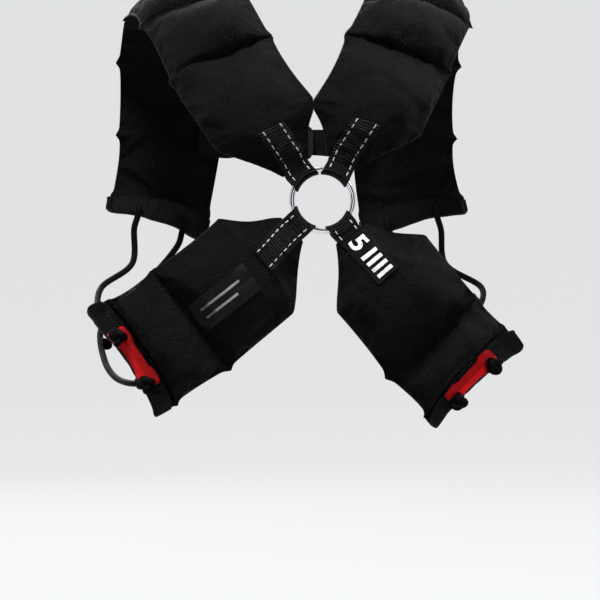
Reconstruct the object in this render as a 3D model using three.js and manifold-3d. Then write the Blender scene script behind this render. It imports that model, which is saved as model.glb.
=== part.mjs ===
// A weighted vest as it is worn: two long filled pads run over the shoulders, two short ones run round the
// flanks, and all four are looped to one steel ring in the middle of the back. Millimetres, +Z up, +X to the
// wearer's right, +Y the way the wearer faces. The origin lies midway between the two shoulders it sits on.
import * as THREE from "three";
import { mergeVertices } from "three/addons/utils/BufferGeometryUtils.js";
import Module from "manifold-3d";

const wasm = await Module();
wasm.setup();

// The body that the vest is shaped to, a rounded block that isn't part of the vest.
const BODY_HALF_BREADTH = 212;
const BODY_HALF_DEPTH = 120;
const BODY_HALF_HEIGHT = 255;
const BODY_SQUARENESS = 2.5;
const SEAT_OUT = 0.46; // where a shoulder carries its pad, as a share of the half breadth
const RING_ROUND = 27.6; // degrees up the back, seen from the middle of the body

// The ring and the tape that loops round it.
const RING_INSIDE = 50;
const RING_WIRE = 5;
const RING_STANDS_OFF = 5; // from the body to the middle of the wire
const RING_FLAT = 3; // past the ring's rim, up to where everything lies level with the ring
const RING_FLAT_EASE = 15; // and over which it goes over to the body's own form
const TAPE_WIDTH = 25;
const TAPE_THICKNESS = 1.6;
const LOOP_OUTER_LEG = 47; // past the ring's rim, on the outside of the pad
const LOOP_INNER_LEG = 26; // past the ring's rim, on the body side of the pad
const CLEARANCE = 0.3;
const SEWN_GAP = 0.5; // under what lies on a pad's rounded face

// The filled pads.
const PAD_TIP = 8; // past the ring's rim, where a pad's narrow end begins
const PAD_TIP_WIDTH = 29;
const PAD_TAPER = 45;
const PAD_SEAM = 3.5; // thickness at a sewn seam
const PAD_EDGE_RISE = 3; // how far the sewn edges stand off the body
const PAD_RESTS = 2.6; // room for tape between body and pad
const PAD_TONGUE = 6; // length of the flat end inside the hem
const SHOULDER_WIDTH = 102;
const SHOULDER_FULL = 20;
const SHOULDER_FIRST_CHAMBER = 121;
const SHOULDER_CHAMBER = 66;
const SHOULDER_CHAMBERS = 5; // after the first
const BANK_PIVOT = 25; // a lifted pad turns about a line this far in from its middle
const SIDE_WIDTH = 111;
const SIDE_FULL = 19;
const SIDE_FIRST_CHAMBER = 120;
const SIDE_LAST_CHAMBER_LEFT = 52;
const SIDE_LAST_CHAMBER_RIGHT = 44; // the fill has slumped away from this end
const MEETING_PLANE = -7; // where the shoulder pads touch, above the ring
const MEETING_GAP = 0.8;

// The hem at a pad's free end, the red tab on it and the elastic cord through both.
const HEM_WIDTH = 22;
const HEM_FLARE = 1.04; // hem length against the pad's width
const HEM_RESTS = 9; // room for the cord between body and hem
const HEM_DRAWN_IN = 7; // by the cord, in the middle of its length
const HEM_DRAWN_OVER = 20; // length of pad that is drawn in with it
const HEM_SLACK = 0.4; // between the pad's flat end and the tape round it
const TAB_LENGTH = 66;
const TAB_END_WIDTH = 18;
const TAB_WAIST_WIDTH = 13;
const TAB_THICKNESS = 2.2;
const TAB_DOME = 1.5;
const HOLE_SPACING = 49;
const CORD_DIAMETER = 6;
const CORD_SIDES = 6;
const CORD_STEPS = 2; // between two points of its route
const CORD_BEND = 3.4; // where it turns under a hem
const HOLE_CLEARANCE = 1.2;
const KNOT_DIAMETER = 17;
const KNOT_FLAT = 0.85; // height against diameter
const INNER_KNOT_DIAMETER = 12;
const INNER_KNOT_PAST_LEFT = 18; // from the hole, so that it shows past the hem
const INNER_KNOT_PAST_RIGHT = 0; // it sits under the hole

// The two sewn labels and the closure in front.
const BADGE_LENGTH = 61;
const BADGE_WIDTH = 28.5;
const BADGE_START = 62; // past the ring's rim
const BADGE_OFFSET = 4; // towards the pad's lower edge
const SIZE_MARK_LENGTH = 46;
const SIZE_MARK_START = 10; // past the ring's rim
const LABEL_THICKNESS = 0.7;
const CLASP_WIDTH = 52;
const CLASP_HEIGHT = 34;
const CLASP_THICKNESS = 9;
const CLASP_CORNER = 8;
const CLASP_STANDS_OFF = 2;
const CLASP_POCKET = 9;
const CLASP_SLACK = 0.7; // round the tape in the pocket
const STRAP_UNDER_PAD = 24;
const STRAP_DOWN_PAD = 0.862; // share of the pad's length where the chest strap is sewn, level with the clasp
const STRAP_LEAD_PAD = 12; // how far it runs straight out of the pad
const STRAP_LEAD_CLASP = 24; // and out of the clasp

// Routes on the body. Out: share of the half breadth. Round: degrees from straight behind, up and over.
// Skew: degrees by which a seam leans, with its outer or lower end further on. Hug: how closely the pad bends
// to the body across its width, from 0 for flat to 1. Bank: degrees by which its outer edge is lifted off.
const SHOULDER_ROUTE = [
  { leftOut: 0.0, leftRound: 27.6, leftSkew: 0, rightOut: 0.0, rightRound: 27.6, rightSkew: 0, hug: 0.8, bank: 0 },
  { leftOut: 0.113, leftRound: 38.8, leftSkew: 3, rightOut: 0.083, rightRound: 40.2, rightSkew: 6, hug: 0.8, bank: 0 },
  { leftOut: 0.245, leftRound: 50, leftSkew: 8, rightOut: 0.215, rightRound: 53, rightSkew: 16, hug: 0.8, bank: 0 },
  { leftOut: 0.41, leftRound: 66, leftSkew: -2, rightOut: 0.345, rightRound: 66, rightSkew: 6, hug: 0.7, bank: 0 },
  { leftOut: 0.5, leftRound: 84, leftSkew: 4, rightOut: 0.475, rightRound: 83, rightSkew: 5, hug: 0.2, bank: 11 },
  { leftOut: 0.525, leftRound: 110, leftSkew: 0, rightOut: 0.525, rightRound: 110, rightSkew: 0, hug: 0.15, bank: 25 },
  { leftOut: 0.53, leftRound: 130, leftSkew: 0, rightOut: 0.53, rightRound: 130, rightSkew: 0, hug: 0.4, bank: 13 },
  { leftOut: 0.57, leftRound: 151, leftSkew: 0, rightOut: 0.57, rightRound: 151, rightSkew: 0, hug: 0.4, bank: 0 },
  { leftOut: 0.63, leftRound: 171, leftSkew: 0, rightOut: 0.63, rightRound: 171, rightSkew: 0, hug: 0.4, bank: 0 },
  { leftOut: 0.7, leftRound: 191, leftSkew: 0, rightOut: 0.7, rightRound: 191, rightSkew: 0, hug: 0.4, bank: 0 },
];
const SIDE_ROUTE = [
  { leftOut: 0.0, leftRound: 27.6, leftSkew: 0, rightOut: 0.0, rightRound: 27.6, rightSkew: 0, hug: 0.4, bank: 0 },
  { leftOut: 0.14, leftRound: 16.4, leftSkew: 4, rightOut: 0.119, rightRound: 14.5, rightSkew: 0, hug: 0.4, bank: 0 },
  { leftOut: 0.3, leftRound: 0, leftSkew: 5, rightOut: 0.252, rightRound: -2, rightSkew: 0, hug: 0.4, bank: 0 },
  { leftOut: 0.547, leftRound: -22, leftSkew: -1, rightOut: 0.468, rightRound: -27.5, rightSkew: -2, hug: 0.4, bank: 0 },
  { leftOut: 0.75, leftRound: -40, leftSkew: -6, rightOut: 0.622, rightRound: -43, rightSkew: 0, hug: 0.4, bank: 0 },
  { leftOut: 0.835, leftRound: -50, leftSkew: -7, rightOut: 0.692, rightRound: -51.5, rightSkew: 0, hug: 0.4, bank: 0 },
  { leftOut: 0.92, leftRound: -68, leftSkew: -7, rightOut: 0.783, rightRound: -63, rightSkew: 0, hug: 0.4, bank: 0 },
];
// Where a cord's strands run between their two tabs. Turn: degrees round the flank from straight behind.
// Upper and lower: heights as shares of the half height. Left in and right in: how much slimmer the flank is
// than the block, as a share of the half depth.
const CORD_ROUTE = [
  { turn: 76, upper: -0.25, lower: -0.4, leftIn: 0.18, rightIn: 0.44 },
  { turn: 92, upper: -0.17, lower: -0.33, leftIn: 0.2, rightIn: 0.4 },
  { turn: 108, upper: -0.06, lower: -0.2, leftIn: 0.12, rightIn: 0.16 },
  { turn: 122, upper: 0.04, lower: -0.09, leftIn: 0.04, rightIn: 0.02 },
];

const SIDES = [
  { name: "left", sign: -1 },
  { name: "right", sign: 1 },
];
const RING_RADIUS = (RING_INSIDE + RING_WIRE) / 2;
const RING_RIM = RING_RADIUS + RING_WIRE / 2;
const CORD_RADIUS = CORD_DIAMETER / 2;
const UP = new THREE.Vector3(0, 0, 1);

const MATERIALS = {
  fabric: new THREE.MeshStandardMaterial({ color: 0x141516, roughness: 0.85, metalness: 0 }),
  tape: new THREE.MeshStandardMaterial({ color: 0x0f1011, roughness: 0.7, metalness: 0 }),
  steel: new THREE.MeshStandardMaterial({ color: 0xd8dadc, roughness: 0.15, metalness: 1 }),
  tab: new THREE.MeshStandardMaterial({ color: 0xc8131a, roughness: 0.55, metalness: 0 }),
  cord: new THREE.MeshStandardMaterial({ color: 0x121314, roughness: 0.75, metalness: 0 }),
  label: new THREE.MeshStandardMaterial({ color: 0x17181a, roughness: 0.6, metalness: 0 }),
  clasp: new THREE.MeshStandardMaterial({ color: 0x101112, roughness: 0.4, metalness: 0 }),
};

const radians = THREE.MathUtils.degToRad;
const blend = THREE.MathUtils.smoothstep;

// How far a point lies out from the middle of the body, with 1 on its skin.
function bodyValue(p) {
  return (
    Math.abs(p.x / BODY_HALF_BREADTH) ** BODY_SQUARENESS +
    Math.abs(p.y / BODY_HALF_DEPTH) ** BODY_SQUARENESS +
    Math.abs(p.z / BODY_HALF_HEIGHT) ** BODY_SQUARENESS
  );
}

function outward(p) {
  const slope = (value, half) => (Math.sign(value) * Math.abs(value / half) ** (BODY_SQUARENESS - 1)) / half;
  return new THREE.Vector3(
    slope(p.x, BODY_HALF_BREADTH),
    slope(p.y, BODY_HALF_DEPTH),
    slope(p.z, BODY_HALF_HEIGHT),
  ).normalize();
}

// The point of the skin in a given direction (y, z) at a given x.
function skinAt(x, y, z) {
  const left = 1 - Math.abs(x / BODY_HALF_BREADTH) ** BODY_SQUARENESS;
  const ray = bodyValue(new THREE.Vector3(0, y, z));
  const scale = (Math.max(left, 1e-4) / ray) ** (1 / BODY_SQUARENESS);
  return new THREE.Vector3(x, y * scale, z * scale);
}

const onBody = (out, round) =>
  skinAt(out * BODY_HALF_BREADTH, -Math.cos(radians(round)), Math.sin(radians(round)));

// The point of the skin at a height, turned round the flank from straight behind.
function onFlank(sign, turn, height) {
  const left = 1 - Math.abs(height / BODY_HALF_HEIGHT) ** BODY_SQUARENESS;
  const x = Math.sin(radians(turn));
  const y = -Math.cos(radians(turn));
  const scale = (left / bodyValue(new THREE.Vector3(x, y, 0))) ** (1 / BODY_SQUARENESS);
  return new THREE.Vector3(sign * x * scale, y * scale, height);
}

const RING_SEAT = onBody(0, RING_ROUND);
const RING_OUT = outward(RING_SEAT);

// The line that a pad follows on the body, measured from the middle of the ring.
class Route extends THREE.Curve {
  constructor(rows, side) {
    super();
    this.arcLengthDivisions = 600;
    this.sign = side.sign;
    const through = (x, y, z) =>
      new THREE.CatmullRomCurve3(
        rows.map((row) => new THREE.Vector3(row[x], row[y], row[z] ?? 0)),
        false,
        "catmullrom",
      );
    this.places = through(side.name + "Out", side.name + "Round");
    this.leans = through(side.name + "Skew", "hug", "bank");
  }

  getPoint(t) {
    const place = this.places.getPoint(t);
    return onBody(this.sign * place.x, place.y);
  }

  leanAt(share) {
    const lean = this.leans.getPoint(this.getUtoTmapping(share));
    return { skew: Math.tan(radians(lean.x)), hug: lean.y, bank: radians(lean.z) };
  }
}

// A pad's place on the body: s runs along it from the ring, w across it towards the outer or lower edge,
// and h out from the body.
class Bed {
  constructor(rows, side) {
    this.route = new Route(rows, side);
    this.sign = side.sign;
    this.frames = new Map();
    this.length = this.route.getLength();
    const start = this.frame(1).along;
    this.flatAlong = start.clone().addScaledVector(RING_OUT, -start.dot(RING_OUT)).normalize();
    this.flatAcross = this.flatAlong.clone().cross(RING_OUT).multiplyScalar(this.sign);
  }

  frame(s) {
    const key = s.toFixed(3);
    if (this.frames.has(key)) return this.frames.get(key);
    const share = THREE.MathUtils.clamp(s / this.length, 0, 1);
    const middle = this.route.getPointAt(share);
    const out = outward(middle);
    const across = this.route.getTangentAt(share).cross(out).normalize().multiplyScalar(this.sign);
    const along = out.clone().cross(across).multiplyScalar(this.sign);
    const bend = this.bendAt(middle, across, out);
    const { skew, hug, bank } = this.route.leanAt(share);
    middle.addScaledVector(out, Math.sin(bank) * BANK_PIVOT);
    const turn = new THREE.Quaternion().setFromAxisAngle(along, -this.sign * bank);
    across.applyQuaternion(turn);
    out.applyQuaternion(turn);
    this.frames.set(key, { middle, out, across, along, bend, skew, hug });
    return this.frames.get(key);
  }

  // How fast the skin falls away across the pad: the fall is this times the square of w.
  bendAt(middle, across, out) {
    const step = 15;
    let fall = 0;
    for (let i = 0; i < 8; i += 1) {
      const at = (extra) =>
        bodyValue(middle.clone().addScaledVector(across, step).addScaledVector(out, fall + extra)) - 1;
      fall -= at(0) / ((at(0.01) - at(0)) / 0.01);
    }
    return fall / step ** 2;
  }

  at(s, w, h) {
    const flat = RING_RIM + RING_FLAT;
    const share = blend(s, flat, flat + RING_FLAT_EASE);
    const onRing = RING_SEAT.clone()
      .addScaledVector(this.flatAlong, s)
      .addScaledVector(this.flatAcross, w)
      .addScaledVector(RING_OUT, h);
    if (share === 0) return onRing;
    const f = this.frame(s);
    const pulled = HEM_DRAWN_IN * blend(s, ...this.drawn) * Math.max(0, 1 - (w / this.drawnHalf) ** 2);
    const laid = f.middle
      .clone()
      .addScaledVector(f.across, w)
      .addScaledVector(f.along, w * f.skew - pulled)
      .addScaledVector(f.out, h + f.bend * f.hug * w * w);
    return onRing.lerp(laid, share);
  }
}

// A closed solid between an outer and an inner grid of points, both given as functions of u and v in 0 to 1.
function slab(outer, inner, us, vs) {
  const columns = vs.length;
  const points = [outer, inner].flatMap((face) => us.flatMap((u) => vs.map((v) => face(u, v))));
  const back = us.length * columns;
  const at = (i, j, face) => face * back + i * columns + j;
  const faces = [];
  const quad = (a, b, c, d) => faces.push(a, b, c, a, c, d);
  for (let i = 0; i < us.length - 1; i += 1)
    for (let j = 0; j < columns - 1; j += 1) {
      quad(at(i, j, 0), at(i + 1, j, 0), at(i + 1, j + 1, 0), at(i, j + 1, 0));
      quad(at(i, j, 1), at(i, j + 1, 1), at(i + 1, j + 1, 1), at(i + 1, j, 1));
    }
  for (let i = 0; i < us.length - 1; i += 1) {
    quad(at(i, 0, 0), at(i, 0, 1), at(i + 1, 0, 1), at(i + 1, 0, 0));
    quad(at(i, columns - 1, 0), at(i + 1, columns - 1, 0), at(i + 1, columns - 1, 1), at(i, columns - 1, 1));
  }
  const last = us.length - 1;
  for (let j = 0; j < columns - 1; j += 1) {
    quad(at(0, j, 0), at(0, j + 1, 0), at(0, j + 1, 1), at(0, j, 1));
    quad(at(last, j, 0), at(last, j, 1), at(last, j + 1, 1), at(last, j + 1, 0));
  }
  return facingOut(new THREE.BufferGeometry().setFromPoints(points).setIndex(faces));
}

function facingOut(geometry) {
  const place = geometry.attributes.position;
  const index = geometry.index.array;
  const [a, b, c] = [new THREE.Vector3(), new THREE.Vector3(), new THREE.Vector3()];
  let volume = 0;
  for (let i = 0; i < index.length; i += 3) {
    a.fromBufferAttribute(place, index[i]);
    b.fromBufferAttribute(place, index[i + 1]);
    c.fromBufferAttribute(place, index[i + 2]);
    volume += a.dot(b.cross(c));
  }
  if (volume < 0)
    for (let i = 0; i < index.length; i += 3) [index[i + 1], index[i + 2]] = [index[i + 2], index[i + 1]];
  return geometry;
}

const steps = (count, from = 0, to = 1) =>
  Array.from({ length: count + 1 }, (_, i) => from + ((to - from) * i) / count);

function toManifold(geometry) {
  const bare = geometry.clone();
  bare.deleteAttribute("normal");
  bare.deleteAttribute("uv");
  const merged = mergeVertices(bare, 1e-3);
  const data = { numProp: 3, vertProperties: merged.attributes.position.array };
  return new wasm.Manifold(new wasm.Mesh({ ...data, triVerts: new Uint32Array(merged.index.array) }));
}

function toGeometry(solid) {
  const mesh = solid.getMesh();
  return new THREE.BufferGeometry()
    .setAttribute("position", new THREE.BufferAttribute(new Float32Array(mesh.vertProperties), 3))
    .setIndex(new THREE.BufferAttribute(new Uint32Array(mesh.triVerts), 1));
}

// One pad: its chambers, its outline and its two faces, all in the bed's s, w and h.
class Pad {
  constructor(name, bed, sizes) {
    Object.assign(this, sizes);
    this.name = name;
    this.bed = bed;
    this.tip = RING_RIM + PAD_TIP;
    this.seams = [this.tip];
    for (const length of sizes.chambers) this.seams.push(this.seams.at(-1) + length);
    this.end = this.seams.at(-1);
    bed.drawn = [this.end - HEM_DRAWN_OVER, this.end];
    bed.drawnHalf = sizes.width / 2;
  }

  halfWidth(s) {
    const taper = THREE.MathUtils.clamp((s - this.tip) / PAD_TAPER, 0, 1);
    const rounded = taper - 0.06 * Math.sin(Math.PI * taper) ** 2;
    return THREE.MathUtils.lerp(PAD_TIP_WIDTH, this.width, rounded) / 2;
  }

  // Half width towards the middle of the back, where the two shoulder pads meet.
  innerHalfWidth(s) {
    const full = this.halfWidth(s);
    if (!this.meets) return full;
    const f = this.bed.frame(s);
    const away = Math.abs(f.middle.x - MEETING_PLANE) - MEETING_GAP / 2;
    const reach = Math.abs(f.across.x + f.along.x * f.skew);
    return Math.min(full, away / reach);
  }

  share(s, w) {
    return w / (w < 0 ? this.innerHalfWidth(s) : this.halfWidth(s));
  }

  rest(s) {
    return THREE.MathUtils.lerp(PAD_RESTS, HEM_RESTS, blend(s, this.seams.at(-2), this.end));
  }

  // How full the pad is: 0 at a seam and 1 in the middle of a chamber, with the fill settled a little.
  fullness(s) {
    if (s <= this.tip || s >= this.end) return 0;
    const i = this.seams.findIndex((seam) => seam > s) - 1;
    const t = (s - this.seams[i]) / (this.seams[i + 1] - this.seams[i]);
    return Math.sin(Math.PI * t) ** 0.6;
  }

  bottom(s, share) {
    return this.rest(s) + PAD_EDGE_RISE * this.fullness(s) * Math.abs(share) ** 4;
  }

  top(s, share) {
    const crown = Math.max(0, 1 - Math.abs(share) ** 2.8) ** 0.6;
    return this.bottom(s, share) + PAD_SEAM + (this.full - PAD_SEAM) * this.fullness(s) * crown;
  }

  // Outside face at any point that something is sewn to.
  topAt(s, w) {
    return this.top(s, THREE.MathUtils.clamp(this.share(s, w), -1, 1));
  }

  face(side) {
    return (s, v) => {
      const w = v * (v < 0 ? this.innerHalfWidth(s) : this.halfWidth(s));
      return this.bed.at(s, w, side === "top" ? this.top(s, v) : this.bottom(s, v));
    };
  }

  stations() {
    const found = [];
    this.seams.slice(0, -1).forEach((seam, i) => {
      const count = Math.max(5, Math.round((this.seams[i + 1] - seam) / 13.5));
      found.push(...steps(count, seam, this.seams[i + 1]).slice(0, -1));
    });
    return [...found, this.end, this.end + PAD_TONGUE];
  }

  geometry() {
    const across = [-1, -0.84, -0.5, 0, 0.5, 0.84, 1];
    return slab(this.face("top"), this.face("bottom"), this.stations(), across);
  }
}

// A strip that lies on a pad's outside, between two distances along and across it.
function onPad(pad, from, to, low, high, thickness) {
  const height = (s, w) => pad.topAt(s, w) + SEWN_GAP;
  const place = (extra) => (s, w) => pad.bed.at(s, w, height(s, w) + extra);
  return slab(place(thickness), place(0), steps(5, from, to), steps(3, low, high));
}

// Tape folded round the ring's wire, with its outer leg on the pad and its inner leg under it.
function ringLoop(pad, outerLeg) {
  const innerBend = RING_WIRE / 2 + CLEARANCE;
  const outerEnd = RING_RIM + outerLeg;
  const innerEnd = RING_RIM + LOOP_INNER_LEG;
  const overPad = (s, w) => {
    const onWire = RING_STANDS_OFF + innerBend;
    return THREE.MathUtils.lerp(onWire, pad.topAt(s, w) + SEWN_GAP, blend(s, RING_RIM - 1, pad.tip - 1));
  };
  const underPad = (s) => {
    const onWire = RING_STANDS_OFF - innerBend;
    return THREE.MathUtils.lerp(onWire, pad.rest(s) - CLEARANCE, blend(s, RING_RIM - 1, pad.tip - 1));
  };
  const wrap = 6;
  const legs = 5;
  const face = (extra) => (i, v) => {
    const w = (v * TAPE_WIDTH) / 2;
    const wire = Math.sqrt(RING_RADIUS ** 2 - w ** 2);
    const stretch = RING_RADIUS / wire;
    if (i < legs) {
      const s = THREE.MathUtils.lerp(outerEnd, wire, i / legs);
      return pad.bed.at(s, w, overPad(s, w) + extra);
    }
    if (i > legs + wrap) {
      const s = THREE.MathUtils.lerp(wire, innerEnd, (i - legs - wrap) / legs);
      return pad.bed.at(s, w, underPad(s) - extra);
    }
    const turn = (Math.PI * (i - legs)) / wrap;
    const reach = innerBend + extra;
    return pad.bed.at(
      wire - Math.sin(turn) * reach * stretch,
      w,
      RING_STANDS_OFF + Math.cos(turn) * reach,
    );
  };
  return slab(face(TAPE_THICKNESS), face(0), steps(2 * legs + wrap, 0, 2 * legs + wrap), steps(4, -1, 1));
}

// Height of the hem's outside face over the body, in the middle of its length.
const hemMiddle = (pad) => pad.rest(pad.end) + PAD_SEAM / 2;
const hemHalf = PAD_SEAM / 2 + HEM_SLACK;
const hemTop = (pad) => hemMiddle(pad) + hemHalf + TAPE_THICKNESS;
const hemBottom = (pad) => hemMiddle(pad) - hemHalf - TAPE_THICKNESS;
const holePlace = (pad) => pad.end + HEM_WIDTH / 2;

// Tape folded lengthwise over the pad's end, with two holes for the cord.
function hem(pad) {
  const legs = 2;
  const wrap = 4;
  const middle = hemMiddle(pad);
  const fold = pad.end + HEM_WIDTH - hemHalf - TAPE_THICKNESS;
  const start = pad.end + SEWN_GAP;
  const face = (extra) => (i, v) => {
    const w = v * pad.halfWidth(pad.end) * HEM_FLARE;
    const reach = hemHalf + extra;
    if (i <= legs) return pad.bed.at(THREE.MathUtils.lerp(start, fold, i / legs), w, middle + reach);
    if (i >= legs + wrap)
      return pad.bed.at(THREE.MathUtils.lerp(fold, start, (i - legs - wrap) / legs), w, middle - reach);
    const turn = (Math.PI * (i - legs)) / wrap;
    return pad.bed.at(fold + Math.sin(turn) * reach, w, middle + Math.cos(turn) * reach);
  };
  const around = 2 * legs + wrap;
  const folded = slab(face(TAPE_THICKNESS), face(0), steps(around, 0, around), steps(6, -1, 1));
  return toGeometry(cordHoles(pad).reduce((solid, hole) => solid.subtract(hole), toManifold(folded)));
}

// Round cutters for the two places where the cord goes through hem and tab.
function cordHoles(pad) {
  return [-1, 1].map((end) => {
    const at = pad.bed.at(holePlace(pad), (end * HOLE_SPACING) / 2, hemTop(pad));
    const out = pad.bed.frame(holePlace(pad)).out;
    const cutter = new THREE.CylinderGeometry(
      CORD_RADIUS + HOLE_CLEARANCE,
      CORD_RADIUS + HOLE_CLEARANCE,
      60,
      8,
    );
    cutter.applyQuaternion(new THREE.Quaternion().setFromUnitVectors(new THREE.Vector3(0, 1, 0), out));
    cutter.translate(at.x, at.y, at.z);
    return toManifold(cutter);
  });
}

// The bone-shaped red tab on the hem, domed along its middle.
function redTab(pad) {
  const middle = holePlace(pad);
  const halfWidth = (v) =>
    THREE.MathUtils.lerp(TAB_WAIST_WIDTH, TAB_END_WIDTH, blend(Math.abs(v), 0.35, 0.62)) / 2;
  const bottom = hemTop(pad) + CLEARANCE;
  const face = (extra, dome) => (v, u) =>
    pad.bed.at(middle + u * halfWidth(v), (v * TAB_LENGTH) / 2, bottom + extra + dome * (1 - u * u));
  const solid = toManifold(
    slab(face(TAB_THICKNESS, TAB_DOME), face(0, 0), [-1, -0.6, -0.5, -0.4, 0, 0.4, 0.5, 0.6, 1], steps(4, -1, 1)),
  );
  return toGeometry(cordHoles(pad).reduce((tab, hole) => tab.subtract(hole), solid));
}

const tabTop = (pad) => hemTop(pad) + CLEARANCE + TAB_THICKNESS + TAB_DOME;

// A round cord along a line, closed at both ends.
function tube(line, count, radius, sides) {
  const points = line.getPoints(count);
  const rings = [];
  let normal = new THREE.Vector3(1, 0, 0);
  points.forEach((point, i) => {
    const ahead = points[Math.min(i + 1, count)].clone().sub(points[Math.max(i - 1, 0)]).normalize();
    normal = normal.addScaledVector(ahead, -normal.dot(ahead)).normalize();
    const other = ahead.clone().cross(normal);
    for (let k = 0; k < sides; k += 1) {
      const turn = (2 * Math.PI * k) / sides;
      rings.push(
        point
          .clone()
          .addScaledVector(normal, Math.cos(turn) * radius)
          .addScaledVector(other, Math.sin(turn) * radius),
      );
    }
    normal = normal.clone();
  });
  const faces = [];
  for (let i = 0; i < count; i += 1)
    for (let k = 0; k < sides; k += 1) {
      const [a, b] = [i * sides + k, i * sides + ((k + 1) % sides)];
      faces.push(a, b, b + sides, a, b + sides, a + sides);
    }
  const last = count * sides;
  for (let k = 1; k < sides - 1; k += 1) faces.push(0, k + 1, k, last, last + k, last + k + 1);
  return facingOut(new THREE.BufferGeometry().setFromPoints(rings).setIndex(faces));
}

// The elastic cord of one flank: knotted on the back tab, round the flank, through the front tab and back.
function sideCord(sign, backPad, frontPad) {
  const under = (pad) => hemBottom(pad) - CORD_RADIUS - 2 * CLEARANCE;
  const place = (pad, end, past, h) => pad.bed.at(holePlace(pad) + past, (end * HOLE_SPACING) / 2, h);
  const bend = (pad, end) =>
    [0, 45, 90].map((turn) => {
      const past = CORD_BEND * (1 - Math.cos(radians(turn)));
      return place(pad, end, past, under(pad) + CORD_BEND * (1 - Math.sin(radians(turn))));
    });
  const past = sign < 0 ? INNER_KNOT_PAST_LEFT : INNER_KNOT_PAST_RIGHT;
  const innerKnot = (end) =>
    place(backPad, end, past, past ? under(backPad) : hemBottom(backPad) - CLEARANCE - INNER_KNOT_DIAMETER / 2);
  const strand = (end) => [
    place(backPad, end, 0, tabTop(backPad) + KNOT_DIAMETER / 2),
    place(backPad, end, 0, tabTop(backPad)),
    place(backPad, end, 0, hemBottom(backPad) + TAPE_THICKNESS),
    ...(past ? bend(backPad, end) : []),
    innerKnot(end),
    ...CORD_ROUTE.map((row) => {
      const skin = onFlank(sign, row.turn, (end < 0 ? row.upper : row.lower) * BODY_HALF_HEIGHT);
      const slimmer = sign < 0 ? row.leftIn : row.rightIn;
      return skin.addScaledVector(outward(skin), CORD_RADIUS - slimmer * BODY_HALF_DEPTH);
    }),
    place(frontPad, -end, 24, under(frontPad)),
    place(frontPad, -end, 12, under(frontPad)),
    ...bend(frontPad, -end).reverse(),
    place(frontPad, -end, 0, hemBottom(frontPad) + TAPE_THICKNESS),
    place(frontPad, -end, 0, hemTop(frontPad)),
    place(frontPad, -end, 0, tabTop(frontPad)),
    place(frontPad, -end * 0.8, 0, tabTop(frontPad) + CORD_RADIUS + 2),
  ];
  const points = [...strand(-1), ...strand(1).reverse()];
  const line = new THREE.CatmullRomCurve3(points);
  const out = backPad.bed.frame(holePlace(backPad)).out;
  const ball = (at, diameter, flat) =>
    toManifold(
      new THREE.SphereGeometry(diameter / 2, 8, 6)
        .scale(1, flat, 1)
        .applyQuaternion(new THREE.Quaternion().setFromUnitVectors(new THREE.Vector3(0, 1, 0), out))
        .translate(at.x, at.y, at.z),
    );
  let solid = toManifold(tube(line, (points.length - 1) * CORD_STEPS, CORD_RADIUS, CORD_SIDES));
  for (const end of [-1, 1]) {
    const seat = tabTop(backPad) + CLEARANCE + (KNOT_DIAMETER * KNOT_FLAT) / 2;
    solid = solid.add(ball(place(backPad, end, 0, seat), KNOT_DIAMETER, KNOT_FLAT));
    solid = solid.add(ball(innerKnot(end), INNER_KNOT_DIAMETER, 1));
  }
  return toGeometry(solid);
}

function ring() {
  return new THREE.TorusGeometry(RING_RADIUS, RING_WIRE / 2, 8, 36)
    .applyQuaternion(new THREE.Quaternion().setFromUnitVectors(UP, RING_OUT))
    .translate(...RING_SEAT.clone().addScaledVector(RING_OUT, RING_STANDS_OFF).toArray());
}

// The place of the clasp: on the middle of the chest, level with the seam of its strap on the left pad.
function claspSeat() {
  const pad = shoulderPad(SIDES[0]);
  const sewn = pad.bed.frame(THREE.MathUtils.lerp(pad.tip, pad.end, STRAP_DOWN_PAD)).middle;
  const skin = onFlank(1, 180, sewn.z);
  const out = outward(skin);
  const across = new THREE.Vector3(1, 0, 0);
  return {
    middle: skin.addScaledVector(out, CLASP_STANDS_OFF + CLASP_THICKNESS / 2),
    turn: new THREE.Matrix4().makeBasis(across, out.clone().cross(across), out),
  };
}

// The plain clasp in the middle of the chest, with a pocket at each end for its strap.
function clasp(seat) {
  const [x, y, r] = [CLASP_WIDTH / 2, CLASP_HEIGHT / 2, CLASP_CORNER];
  const outline = new THREE.Shape()
    .moveTo(-x + r, -y)
    .lineTo(x - r, -y)
    .absarc(x - r, -y + r, r, -Math.PI / 2, 0)
    .lineTo(x, y - r)
    .absarc(x - r, y - r, r, 0, Math.PI / 2)
    .lineTo(-x + r, y)
    .absarc(-x + r, y - r, r, Math.PI / 2, Math.PI)
    .lineTo(-x, -y + r)
    .absarc(-x + r, -y + r, r, Math.PI, 1.5 * Math.PI);
  const body = new THREE.ExtrudeGeometry(outline, {
    depth: CLASP_THICKNESS - 2,
    bevelThickness: 1,
    bevelSize: 1,
    bevelOffset: -1,
    bevelSegments: 1,
    curveSegments: 4,
  }).translate(0, 0, 1 - CLASP_THICKNESS / 2);
  const pockets = [-1, 1].map((end) =>
    toManifold(
      new THREE.BoxGeometry(
        2 * CLASP_POCKET,
        TAPE_WIDTH + 2 * CLASP_SLACK,
        TAPE_THICKNESS + 2 * CLASP_SLACK,
      ).translate(end * x, 0, 0),
    ),
  );
  return toGeometry(pockets.reduce((solid, pocket) => solid.subtract(pocket), toManifold(body)))
    .applyMatrix4(seat.turn)
    .translate(...seat.middle.toArray());
}

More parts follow.
